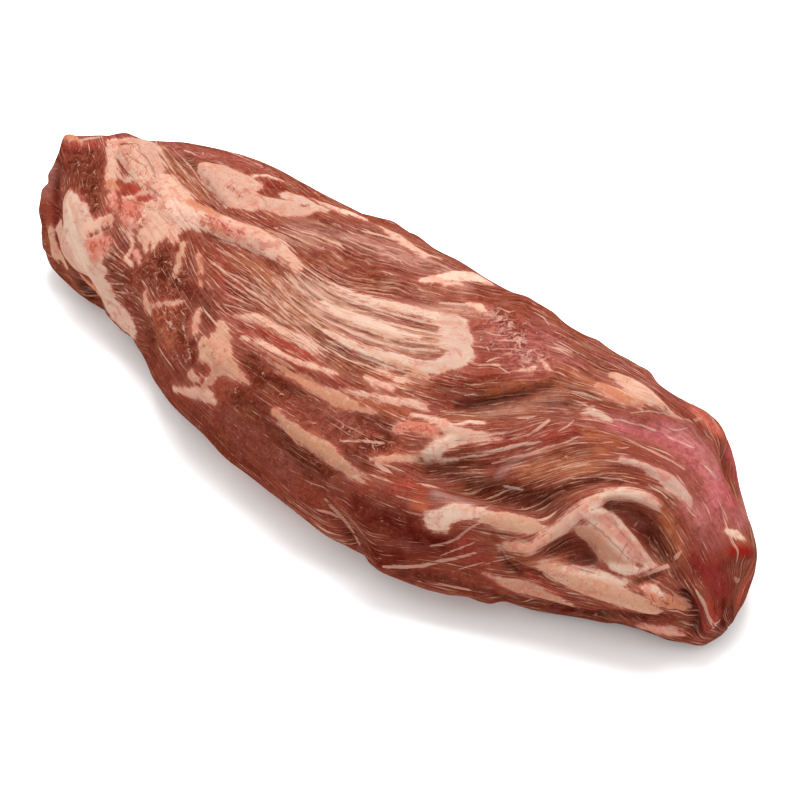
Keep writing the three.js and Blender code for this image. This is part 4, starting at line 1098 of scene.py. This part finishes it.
def fat_field():
    """Signed distance to the fat's edge in metres, positive in the fat, and the fat's tint. Thin strokes
    become threads."""
    FAR = 4 * MM  # beyond the edge, no distance is needed
    field = np.full(surface.count, -FAR)
    tint = np.tile(albedo("cream"), (surface.count, 1))
    strokes = []
    for colour, points in FAT.values():
        if max(width for _, _, width in points) < THREAD_WIDTH:
            threads.add(THREAD_TONES[colour], points)
            continue
        strokes.append((colour, surface.lay(points)))
    strokes += hidden.several(*HIDDEN_SEAMS)
    strokes += hidden.several(*HIDDEN_PADS)
    for colour, (places, widths) in strokes:
        index, gap, width = surface.distances(places, widths, widths.max() + FAR)
        depth = width - gap
        share = smoothstep(-1.5 * MM, 1.0 * MM, depth)[:, None]
        tint[index] = tint[index] * (1 - share) + albedo(colour, light[index]) * share
        field[index] = np.maximum(field[index], depth)
    for points in LEAN_OVER.values():
        places, widths = surface.lay(points)
        index, gap, width = surface.distances(places, widths, widths.max() + FAR)
        field[index] = np.minimum(field[index], gap - width)
    return field, tint


def lean_colour():
    """The lean's colour: darker and rustier on upright faces than on upward ones, partly painted shade, then
    from the hidden patches and the zones.
    """
    # Upright faces get rust and upward ones lean: partly painted shade on the sides
    share = smoothstep(0.1, 0.7, surface.normals[:, 2])[:, None]
    colour = albedo("rust", light) * (1 - share) + albedo("lean", light) * share
    patches = [(name, PATCH_STRENGTH, laid) for name, laid in hidden.several(*HIDDEN_PATCHES)]
    patches += [(name, strength, surface.lay(points)) for name, strength, points in ZONES]
    for name, strength, (places, widths) in patches:
        index, share = soft_share(places, widths, steepness=1.2)
        share = (strength * share)[:, None]
        colour[index] = colour[index] * (1 - share) + albedo(name, light[index]) * share
    return colour


def marbling():
    """Shares of bold streaks, fine streaks and flecks."""
    shares = np.tile(MARBLING_ELSEWHERE, (surface.count, 1))
    for *wanted, points in MARBLING:
        index, weight = soft_share(*surface.lay(points))
        weight = weight[:, None]
        shares[index] = shares[index] * (1 - weight) + np.array(wanted) * weight
    return shares


def blushing():
    """How far the fat is mottled with pink and red."""
    share = np.full(surface.count, BLUSH_ELSEWHERE)
    for strength, points in BLUSH:
        index, weight = soft_share(*surface.lay(points))
        share[index] = share[index] * (1 - weight) + strength * weight
    return share


class Threads:
    """Layers of thin lines. In each, no line comes near another, so all can be drawn finer than the mesh.
    Each point holds its signed distance to the line, the line's half width there, and the line's tone."""
    REACH = 2.4 * MM
    LAYERS = 8
    FADE_START, FADE = 1.3 * MM, 2.5  # from this far off, the half width falls so fast with the distance

    def __init__(self):
        self.side = np.full((self.LAYERS, surface.count), self.REACH)
        self.width = np.full((self.LAYERS, surface.count), -self.REACH)
        self.tone = np.zeros((self.LAYERS, surface.count))

    def add(self, tone, points):
        """Draws a line in the first layer that has room for it."""
        places, widths = surface.lay(points, 3)
        index, gap, width = surface.distances(places, widths, self.REACH)
        near = gap < self.REACH
        index = index[near]
        side, width = self.beside(surface.points[index], surface.normals[index], places, widths)
        for layer in range(self.LAYERS):
            if (self.width[layer][index] <= -0.99 * self.REACH).all():
                self.side[layer][index] = side
                self.width[layer][index] = width
                self.tone[layer][index] = tone
                return

    def beside(self, points, normals, places, widths):
        """Each point's signed distance to the line, and the half width, which fades far off and past
        the ends."""
        best = np.full(len(points), 1e9)
        side, width = np.zeros(len(points)), np.zeros(len(points))
        last = len(places) - 2
        for k, (start, end) in enumerate(zip(places[:-1], places[1:])):
            way = end - start
            length = np.linalg.norm(way) + 1e-9
            way /= length
            run = (points - start) @ way
            inside = np.clip(run, -1 if k == 0 else 0, 2 * length if k == last else length)
            gap = np.linalg.norm(points - start - np.clip(run, 0, length)[:, None] * way, axis=1)
            off = np.cross(normals, way)
            across = ((points - start - inside[:, None] * way) * off).sum(1)
            share = np.clip(run / length, 0, 1)
            here = widths[k] + (widths[k + 1] - widths[k]) * share
            if k == 0:
                here = here + np.minimum(run, 0)
            if k == last:
                here = here - np.maximum(run - length, 0)
            closer = gap < best
            best[closer], side[closer], width[closer] = gap[closer], across[closer], here[closer]
        far = np.maximum(np.abs(side) - self.FADE_START, 0) * self.FADE
        return side, np.maximum(width - far, -self.REACH)


threads = Threads()
fat, fat_tint = fat_field()
lean_tint = lean_colour()
shares = marbling()
for thread in THREADS:
    threads.add(*thread)


def coloured(values):
    """Colours with a full alpha."""
    return np.concatenate([values, np.ones((len(values), 1))], axis=1)


put("fat", "FLOAT", fat / MM)
put("bold", "FLOAT", shares[:, 0])
put("streaks", "FLOAT", shares[:, 1])
put("flecks", "FLOAT", shares[:, 2])
put("blush", "FLOAT", blushing())
put("lean_tint", "FLOAT_COLOR", coloured(lean_tint))
put("fat_tint", "FLOAT_COLOR", coloured(fat_tint))
for layer in range(Threads.LAYERS):
    lines = [threads.side[layer] / MM, threads.width[layer] / MM, threads.tone[layer]]
    put(f"thread_{layer}", "FLOAT_VECTOR", np.stack(lines, 1))
move_out(FAT_HEIGHT * MM * smoothstep(-1 * MM, 1.6 * MM, fat))
beef.data.shade_smooth()


class Nodes:
    """Short names for the shader nodes used below."""

    def __init__(self, tree):
        self.tree = tree
        tree.nodes.clear()

    def add(self, kind, **settings):
        """A new node."""
        node = self.tree.nodes.new(kind)
        for key, value in settings.items():
            setattr(node, key, value)
        return node

    def put(self, socket, value):
        """Gives an input its value, or links it to the output that has it."""
        if isinstance(value, bpy.types.NodeSocket):
            self.tree.links.new(value, socket)
        else:
            socket.default_value = value

    def value(self, name, output="Fac"):
        """An attribute of the points."""
        return self.add("ShaderNodeAttribute", attribute_name=name).outputs[output]

    def colour(self, name):
        return self.value(name, "Color")

    def vector(self, name):
        return self.value(name, "Vector")

    def math(self, operation, a, b=0.0, c=0.0, clamp=False):
        node = self.add("ShaderNodeMath", operation=operation, use_clamp=clamp)
        for socket, value in zip(node.inputs, (a, b, c)):
            self.put(socket, value)
        return node.outputs[0]

    def times(self, a, b, clamp=False):
        return self.math("MULTIPLY", a, b, clamp=clamp)

    def plus(self, a, b):
        return self.math("ADD", a, b)

    def less(self, a, b):
        return self.math("SUBTRACT", a, b)

    def most(self, a, b):
        return self.math("MAXIMUM", a, b)

    def least(self, a, b):
        return self.math("MINIMUM", a, b)

    def absolute(self, value):
        return self.math("ABSOLUTE", value)

    def line(self, value, gain, base):
        """The value times the gain, plus the base."""
        return self.math("MULTIPLY_ADD", value, gain, base)

    def step(self, value, low, high):
        """A smooth step from 0 at low to 1 at high, or down from 1 where low is the higher one."""
        node = self.add("ShaderNodeMapRange", interpolation_type="SMOOTHSTEP")
        self.put(node.inputs["Value"], value)
        self.put(node.inputs["From Min"], low)
        self.put(node.inputs["From Max"], high)
        return node.outputs["Result"]

    def scaled(self, vector, size):
        """A place divided by a size in each direction."""
        node = self.add("ShaderNodeVectorMath", operation="DIVIDE")
        self.put(node.inputs[0], vector)
        node.inputs[1].default_value = size
        return node.outputs["Vector"]

    def noise(self, vector, size, detail=2.0, rough=0.5, twist=0.0, offset=0.0):
        """Noise from 0 to 1 with lumps of the given size in each direction. Offsets give different ones."""
        node = self.add("ShaderNodeTexNoise", noise_dimensions="3D")
        place = self.scaled(vector, size)
        if offset:
            shift = self.add("ShaderNodeVectorMath", operation="ADD")
            self.put(shift.inputs[0], place)
            shift.inputs[1].default_value = (offset, offset * 1.7, offset * 0.6)
            place = shift.outputs["Vector"]
        self.put(node.inputs["Vector"], place)
        node.inputs["Scale"].default_value = 1.0
        node.inputs["Detail"].default_value = detail
        node.inputs["Roughness"].default_value = rough
        node.inputs["Distortion"].default_value = twist
        return node.outputs["Fac"]

    def mix(self, share, a, b, blend="MIX"):
        """The share of colour b over colour a."""
        node = self.add("ShaderNodeMix", data_type="RGBA", blend_type=blend)
        self.put(node.inputs[0], share)
        self.put(node.inputs[6], a)
        self.put(node.inputs[7], b)
        return node.outputs[2]


def tone(name, gain=1.0):
    """A named colour for a shader's socket."""
    return (*(albedo(name) * gain), 1.0)


def parallel_lines(n, flow, period, length, width, share, offset, soft=0.05):
    """Thin lines along the fibres, about a period apart, each broken into pieces of about the given
    length. There are more and longer ones with the share. Periods and lengths are in mm, widths in
    periods. Where the fibres spread, the lines keep their width, and new ones start between them."""
    parts = n.add("ShaderNodeSeparateXYZ")
    n.put(parts.inputs[0], flow)
    along, across, _ = parts.outputs
    climb = n.least(n.value("climb"), 1.5)
    waver = n.less(n.noise(flow, (6, 0.9, 1), detail=2, offset=offset), 0.5)
    start = n.line(n.times(waver, 0.7), 1 / period, offset * 0.37)
    first = n.line(across, 1 / period, start)
    lines = 0.0
    for factor in (1.0, 2.0):
        phase = n.line(first, factor, 0.5)
        off = n.absolute(n.less(n.math("FRACT", phase), 0.5))
        piece = n.add("ShaderNodeCombineXYZ")
        n.put(piece.inputs[0], n.times(along, 1 / length))
        n.put(piece.inputs[1], n.times(n.math("FLOOR", phase), 3.7))
        breaks = n.noise(piece.outputs[0], (1, 1, 1), detail=1.5, offset=offset)
        reach = n.line(breaks, 7.0, n.line(share, 2.0, -4.6))
        reach = n.times(n.least(reach, 1.15), n.times(climb, width * factor))
        line = n.step(n.less(reach, off), -soft, soft)
        if factor > 1:
            line = n.times(line, n.step(climb, 0.78, 0.66))
        lines = n.most(lines, line)
    return lines


def dabs(n, flow, size, share, offset):
    """Short soft flecks along the fibres, more of them with the share."""
    lumps = n.noise(flow, size, detail=4, rough=0.72, twist=0.7, offset=offset)
    edge = n.line(share, -0.13, 0.71)
    return n.step(n.less(lumps, edge), -0.02, 0.05)


def fine_fat(n, flow):
    """Fat finer than the strokes: bold, thin and hair lines along the fibres, and short curly flecks. Also
    where the lean is faintly paler in stripes."""
    bold, streaks, flecks = n.value("bold"), n.value("streaks"), n.value("flecks")
    thick = parallel_lines(n, flow, 2.6, 17, 0.20, bold, 9)
    thin = parallel_lines(n, flow, 1.6, 11, 0.17, streaks, 17, soft=0.08)
    hair = parallel_lines(n, flow, 0.9, 6, 0.18, streaks, 25, soft=0.12)
    fleck = dabs(n, flow, (3.4, 1.9, 1), flecks, 33)
    uneven = n.step(n.noise(flow, (5, 1.1, 1), detail=3, offset=57), 0.36, 0.56)
    uneven = n.line(uneven, 0.6, 0.4)
    lines = n.most(thick, n.times(thin, 0.75))
    lines = n.most(lines, n.times(hair, 0.5))
    solid = n.most(n.times(lines, uneven), n.times(fleck, 0.75))
    return solid, n.step(n.noise(flow, (14, 1.0, 1), detail=2, offset=41), 0.50, 0.70)


def drawn_threads(n, flow):
    """The thin lines: how far a pale one covers each point, how white it is, and how far a dark one does."""
    wander = n.times(n.less(n.noise(flow, (3, 0.9, 1), detail=2, offset=41), 0.5), 0.9)
    broken = n.step(n.noise(flow, (9, 1.6, 1), detail=2, offset=47), 0.32, 0.48)
    pale, dark, white = 0.0, 0.0, 0.0
    for layer in range(Threads.LAYERS):
        parts = n.add("ShaderNodeSeparateXYZ")
        n.put(parts.inputs[0], n.vector(f"thread_{layer}"))
        side, width, kind = parts.outputs
        inside = n.less(width, n.absolute(n.plus(side, wander)))
        cover = n.times(n.step(inside, -0.30, 0.20), broken)
        pale_here = n.times(cover, n.math("GREATER_THAN", kind, 0.0))
        dark_here = n.times(cover, n.math("LESS_THAN", kind, 0.0))
        white = n.most(white, n.times(pale_here, kind))
        pale = n.most(pale, pale_here)
        dark = n.most(dark, n.times(dark_here, n.absolute(kind)))
    return pale, white, dark


def meat_material():
    """Raw lean, with fat on and in it."""
    material = bpy.data.materials.new("raw_marbled_beef")
    material.use_nodes = True
    n = Nodes(material.node_tree)
    place = n.add("ShaderNodeNewGeometry").outputs["Position"]
    flow = n.vector("flow")

    # The fibres' own coordinates, bent sideways a little
    bend = n.add("ShaderNodeCombineXYZ")
    n.put(bend.inputs[1], n.times(n.noise(flow, (30, 8, 1), detail=2, offset=77), 2.5))
    bent = n.add("ShaderNodeVectorMath", operation="ADD")
    n.put(bent.inputs[0], flow)
    n.put(bent.inputs[1], bend.outputs[0])
    flow = bent.outputs["Vector"]

    # Noises that several layers share: along the fibres in mm, and by place in metres
    fibre = n.noise(flow, (10, 0.6, 1), detail=2, rough=0.6)
    strand = n.noise(flow, (18, 1.6, 1), detail=2, offset=3)
    bundle = n.noise(flow, (32, 4.0, 1), detail=2, offset=5)
    blotch = n.noise(place, (0.010,) * 3, detail=3, rough=0.55, offset=3)
    glaze = n.noise(place, (0.014,) * 3, detail=2, rough=0.5, offset=21)
    mottle = n.noise(place, (0.0030,) * 3, detail=4, rough=0.65, offset=8)
    speck = n.noise(place, (0.0013,) * 3, detail=3, rough=0.6, offset=6)
    grain = n.noise(place, (0.0009,) * 3, detail=2)
    streaked = n.step(n.value("streaks"), 0.1, 0.8)
    fibre_mark = n.line(streaked, 0.75, 0.16)
    patchy = n.line(n.step(n.value("streaks"), 0.0, 0.3), 0.8, 0.2)
    dark_line = parallel_lines(n, flow, 1.9, 10, 0.15, fibre_mark, 61, soft=0.07)

    # Lean: fibres from dark to light, in redder and browner patches
    tint = n.colour("lean_tint")
    deep = n.mix(1.0, tint, DEEPER, blend="MULTIPLY")
    pale_lean = n.mix(0.40, tint, tone("pink_fat"))
    redder = n.times(n.step(blotch, 0.50, 0.68), n.times(patchy, 0.45))
    browner = n.times(n.step(glaze, 0.52, 0.66), n.times(patchy, 0.30))
    lean = n.mix(redder, tint, tone("plum", 0.80))
    lean = n.mix(browner, lean, tone("amber", 0.85))
    lean = n.mix(n.times(n.step(fibre, 0.54, 0.30), fibre_mark), lean, deep)
    lean = n.mix(n.times(n.step(strand, 0.50, 0.34), fibre_mark), lean, deep)
    lean = n.mix(n.times(dark_line, 0.55), lean, deep)
    pale_fibre = n.times(n.step(fibre, 0.56, 0.74), n.times(fibre_mark, 0.4))
    lean = n.mix(pale_fibre, lean, pale_lean)
    pale_bundle = n.times(n.step(bundle, 0.50, 0.70), n.times(patchy, 0.25))
    lean = n.mix(pale_bundle, lean, pale_lean)
    lean = n.mix(n.times(n.step(mottle, 0.52, 0.66), 0.45), lean, deep)
    lean = n.mix(n.times(n.step(speck, 0.60, 0.70), 0.25), lean, pale_lean)

    # Mottles of fine fat in it, milky or frosted, with darker gaps, and painted glints: pale streaks that
    # stand for wet gloss
    flecks = n.value("flecks")
    milky = n.noise(place, (0.0034,) * 3, detail=5, rough=0.70, twist=0.8, offset=52)
    darker = n.times(n.step(milky, 0.51, 0.40), n.times(flecks, 0.50), clamp=True)
    milky = n.times(n.step(milky, 0.49, 0.60), n.times(flecks, 0.50), clamp=True)
    lighter = n.mix(1.0, tint, MILKIER, blend="MULTIPLY")
    lighter = n.mix(0.30, lighter, tone("tan_fat"))
    frosted = n.step(flecks, 1.12, 1.32)
    lean = n.mix(milky, lean, n.mix(frosted, lighter, tone("pad_fat", 1.1)))
    lean = n.mix(darker, lean, deep)
    lean = n.mix(1.0, lean, LEAN_TRIM, blend="MULTIPLY")
    painted_glint = n.step(n.noise(flow, (1.5, 0.45, 1), detail=3, rough=0.6, offset=91), 0.655, 0.72)
    lean = n.mix(n.times(painted_glint, 0.45), lean, tone("beige_fat"))

    solid, faint = fine_fat(n, flow)
    pale, white, dark = drawn_threads(n, flow)

    # Clear fat, its edge frayed along the fibres, mottled with pink and veined with red
    fray = n.less(n.noise(flow, (13, 1.2, 1), detail=4, rough=0.65, offset=31), 0.5)
    fray = n.times(fray, n.line(streaked, 7.0, 3.6))
    notch = n.times(n.less(mottle, 0.5), n.line(streaked, -2.0, 4.0))
    edge = n.plus(n.value("fat"), n.plus(fray, notch))
    clear = n.step(edge, -0.85, 0.75)
    fringe = n.step(edge, -2.6, 0.2)
    rim = n.times(n.step(edge, 3.2, 0.4), 0.9)
    rim = n.times(rim, streaked)
    show_through = parallel_lines(n, flow, 1.3, 7, 0.17, rim, 83, soft=0.09)
    cloud = n.noise(place, (0.0055,) * 3, detail=4, rough=0.6, offset=27)
    rosy = n.times(n.step(mottle, 0.50, 0.60), n.step(glaze, 0.46, 0.58))
    vein = n.noise(place, (0.006,) * 3, detail=3, rough=0.6, offset=14)
    vein = n.absolute(n.less(vein, 0.5))
    vein = n.times(n.step(vein, 0.020, 0.0), n.step(blotch, 0.44, 0.58))
    stripe = parallel_lines(n, flow, 1.2, 6, 0.16, 0.45, 71, soft=0.10)
    fat_tint = n.colour("fat_tint")
    blush = n.value("blush")
    warm = n.line(blush, 0.75, 0.08)
    fat_tint = n.mix(n.times(n.step(cloud, 0.44, 0.66), warm), fat_tint, tone("pink_fat", 0.95))
    fat_tint = n.mix(n.times(n.step(cloud, 0.46, 0.30), 0.45), fat_tint, tone("white_fat"))
    fat_tint = n.mix(n.times(rosy, warm), fat_tint, tone("raw_pink", 0.95))
    pink = n.noise(place, (0.0042,) * 3, detail=3, rough=0.6, twist=0.6, offset=44)
    pink = n.step(n.line(blush, 0.22, pink), 0.58, 0.70)
    raw = n.noise(flow, (3.2, 1.6, 1), detail=3, rough=0.65, twist=1.2, offset=46)
    raw = n.step(n.line(blush, 0.20, raw), 0.65, 0.73)
    raw = n.times(raw, n.step(blush, 0.05, 0.35))
    fat_tint = n.mix(n.times(pink, 0.55), fat_tint, tone("raw_pink"))
    fat_tint = n.mix(n.times(raw, 0.70), fat_tint, tone("bright_red", 0.8))
    fat_tint = n.mix(n.times(n.step(strand, 0.50, 0.32), 0.40), fat_tint, tone("amber_fat"))
    stripe = n.times(stripe, streaked)
    fat_tint = n.mix(n.times(stripe, 0.45), fat_tint, tone("fan_amber"))
    vein = n.times(vein, n.line(blush, 0.5, 0.12), clamp=True)
    fat_tint = n.mix(vein, fat_tint, tone("red"))
    fat_tint = n.mix(n.times(n.step(speck, 0.58, 0.68), 0.35), fat_tint, tone("white_fat"))

    # All together, from below: lean, faint stripes, fine fat, clear fat and thin lines
    faint = n.times(faint, streaked)
    colour = n.mix(n.times(faint, 0.30), lean, tone("beige_fat"))
    colour = n.mix(n.times(fringe, 0.30), colour, tone("raw_pink"))
    colour = n.mix(n.times(solid, 0.85), colour, n.mix(0.25, fat_tint, tone("beige_fat")))
    show_through = n.times(show_through, streaked)
    fat_tint = n.mix(n.times(show_through, 0.55), fat_tint, lean)
    colour = n.mix(clear, colour, fat_tint)
    colour = n.mix(n.times(pale, 0.62), colour, n.mix(white, tone("pink_fat"), tone("white_fat")))
    colour = n.mix(n.times(dark, 0.65), colour, tone("deep_red"))
    is_fat = n.most(n.times(solid, 0.6), n.most(clear, pale))

    # The bump: fibres, which fat covers, and a fine grain
    height = n.plus(n.times(fibre, 0.35), n.times(strand, 0.6))
    height = n.times(height, n.line(clear, -0.6, 1.0))
    height = n.plus(height, n.times(mottle, 0.5))
    height = n.plus(height, n.times(grain, 0.10))
    height = n.plus(height, n.times(is_fat, 0.25))
    height = n.less(height, n.times(dark, 0.3))
    bump = n.add("ShaderNodeBump")
    bump.inputs["Strength"].default_value = 0.8
    bump.inputs["Distance"].default_value = 0.0011
    n.put(bump.inputs["Height"], height)

    rough = n.line(n.noise(place, (0.006,) * 3, detail=3, offset=7), 0.35, 0.22)
    rough = n.plus(rough, n.times(is_fat, 0.06))

    skin = n.add("ShaderNodeBsdfPrincipled")
    n.put(skin.inputs["Base Color"], colour)
    n.put(skin.inputs["Roughness"], rough)
    n.put(skin.inputs["Normal"], bump.outputs["Normal"])
    skin.inputs["Specular IOR Level"].default_value = 0.0
    skin.inputs["Subsurface Weight"].default_value = 0.08
    skin.inputs["Subsurface Radius"].default_value = (1.0, 0.35, 0.2)
    skin.inputs["Subsurface Scale"].default_value = 0.002
    out = n.add("ShaderNodeOutputMaterial")
    n.put(out.inputs["Surface"], skin.outputs["BSDF"])
    return material


beef.data.materials.clear()
beef.data.materials.append(meat_material())
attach(beef, "root")
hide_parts("beef_cut")


def add_floor():
    """A plain pale floor under the cut."""
    bpy.ops.mesh.primitive_plane_add(size=FLOOR_SIZE)
    floor = bpy.context.object
    floor.name = "floor"
    material = bpy.data.materials.new("pale_floor")
    material.use_nodes = True
    shader = material.node_tree.nodes["Principled BSDF"]
    shader.inputs["Base Color"].default_value = (FLOOR_SHADE, FLOOR_SHADE, FLOOR_SHADE, 1)
    shader.inputs["Roughness"].default_value = 0.9
    floor.data.materials.append(material)


def add_light(name, place, size, power):
    """A soft square light that looks at the cut."""
    data = bpy.data.lights.new(name, "AREA")
    data.size = size
    data.energy = power
    light = bpy.data.objects.new(name, data)
    light.location = place
    light.rotation_euler = (Vector(TARGET) - Vector(place)).to_track_quat("-Z", "Y").to_euler()
    bpy.context.scene.collection.objects.link(light)


def add_camera():
    """The photograph's camera."""
    data = bpy.data.cameras.new("photo")
    data.lens, data.sensor_width = LENS, SENSOR
    data.clip_start, data.clip_end = 0.01, 20
    camera = bpy.data.objects.new("photo", data)
    camera.location = EYE
    camera.rotation_euler = Vector(-BACK).to_track_quat("-Z", "Y").to_euler()
    bpy.context.scene.collection.objects.link(camera)
    bpy.context.scene.camera = camera


def add_studio():
    """The light all round and from above, and colours shown as they are."""
    world = bpy.data.worlds.new("studio")
    world.use_nodes = True
    background = world.node_tree.nodes["Background"]
    background.inputs["Color"].default_value = (1, 1, 1, 1)
    background.inputs["Strength"].default_value = SKY_STRENGTH
    bpy.context.scene.world = world
    add_light("key", KEY_PLACE, KEY_SIZE, KEY_POWER)
    bpy.context.scene.view_settings.view_transform = "Standard"


add_floor()
add_camera()
add_studio()
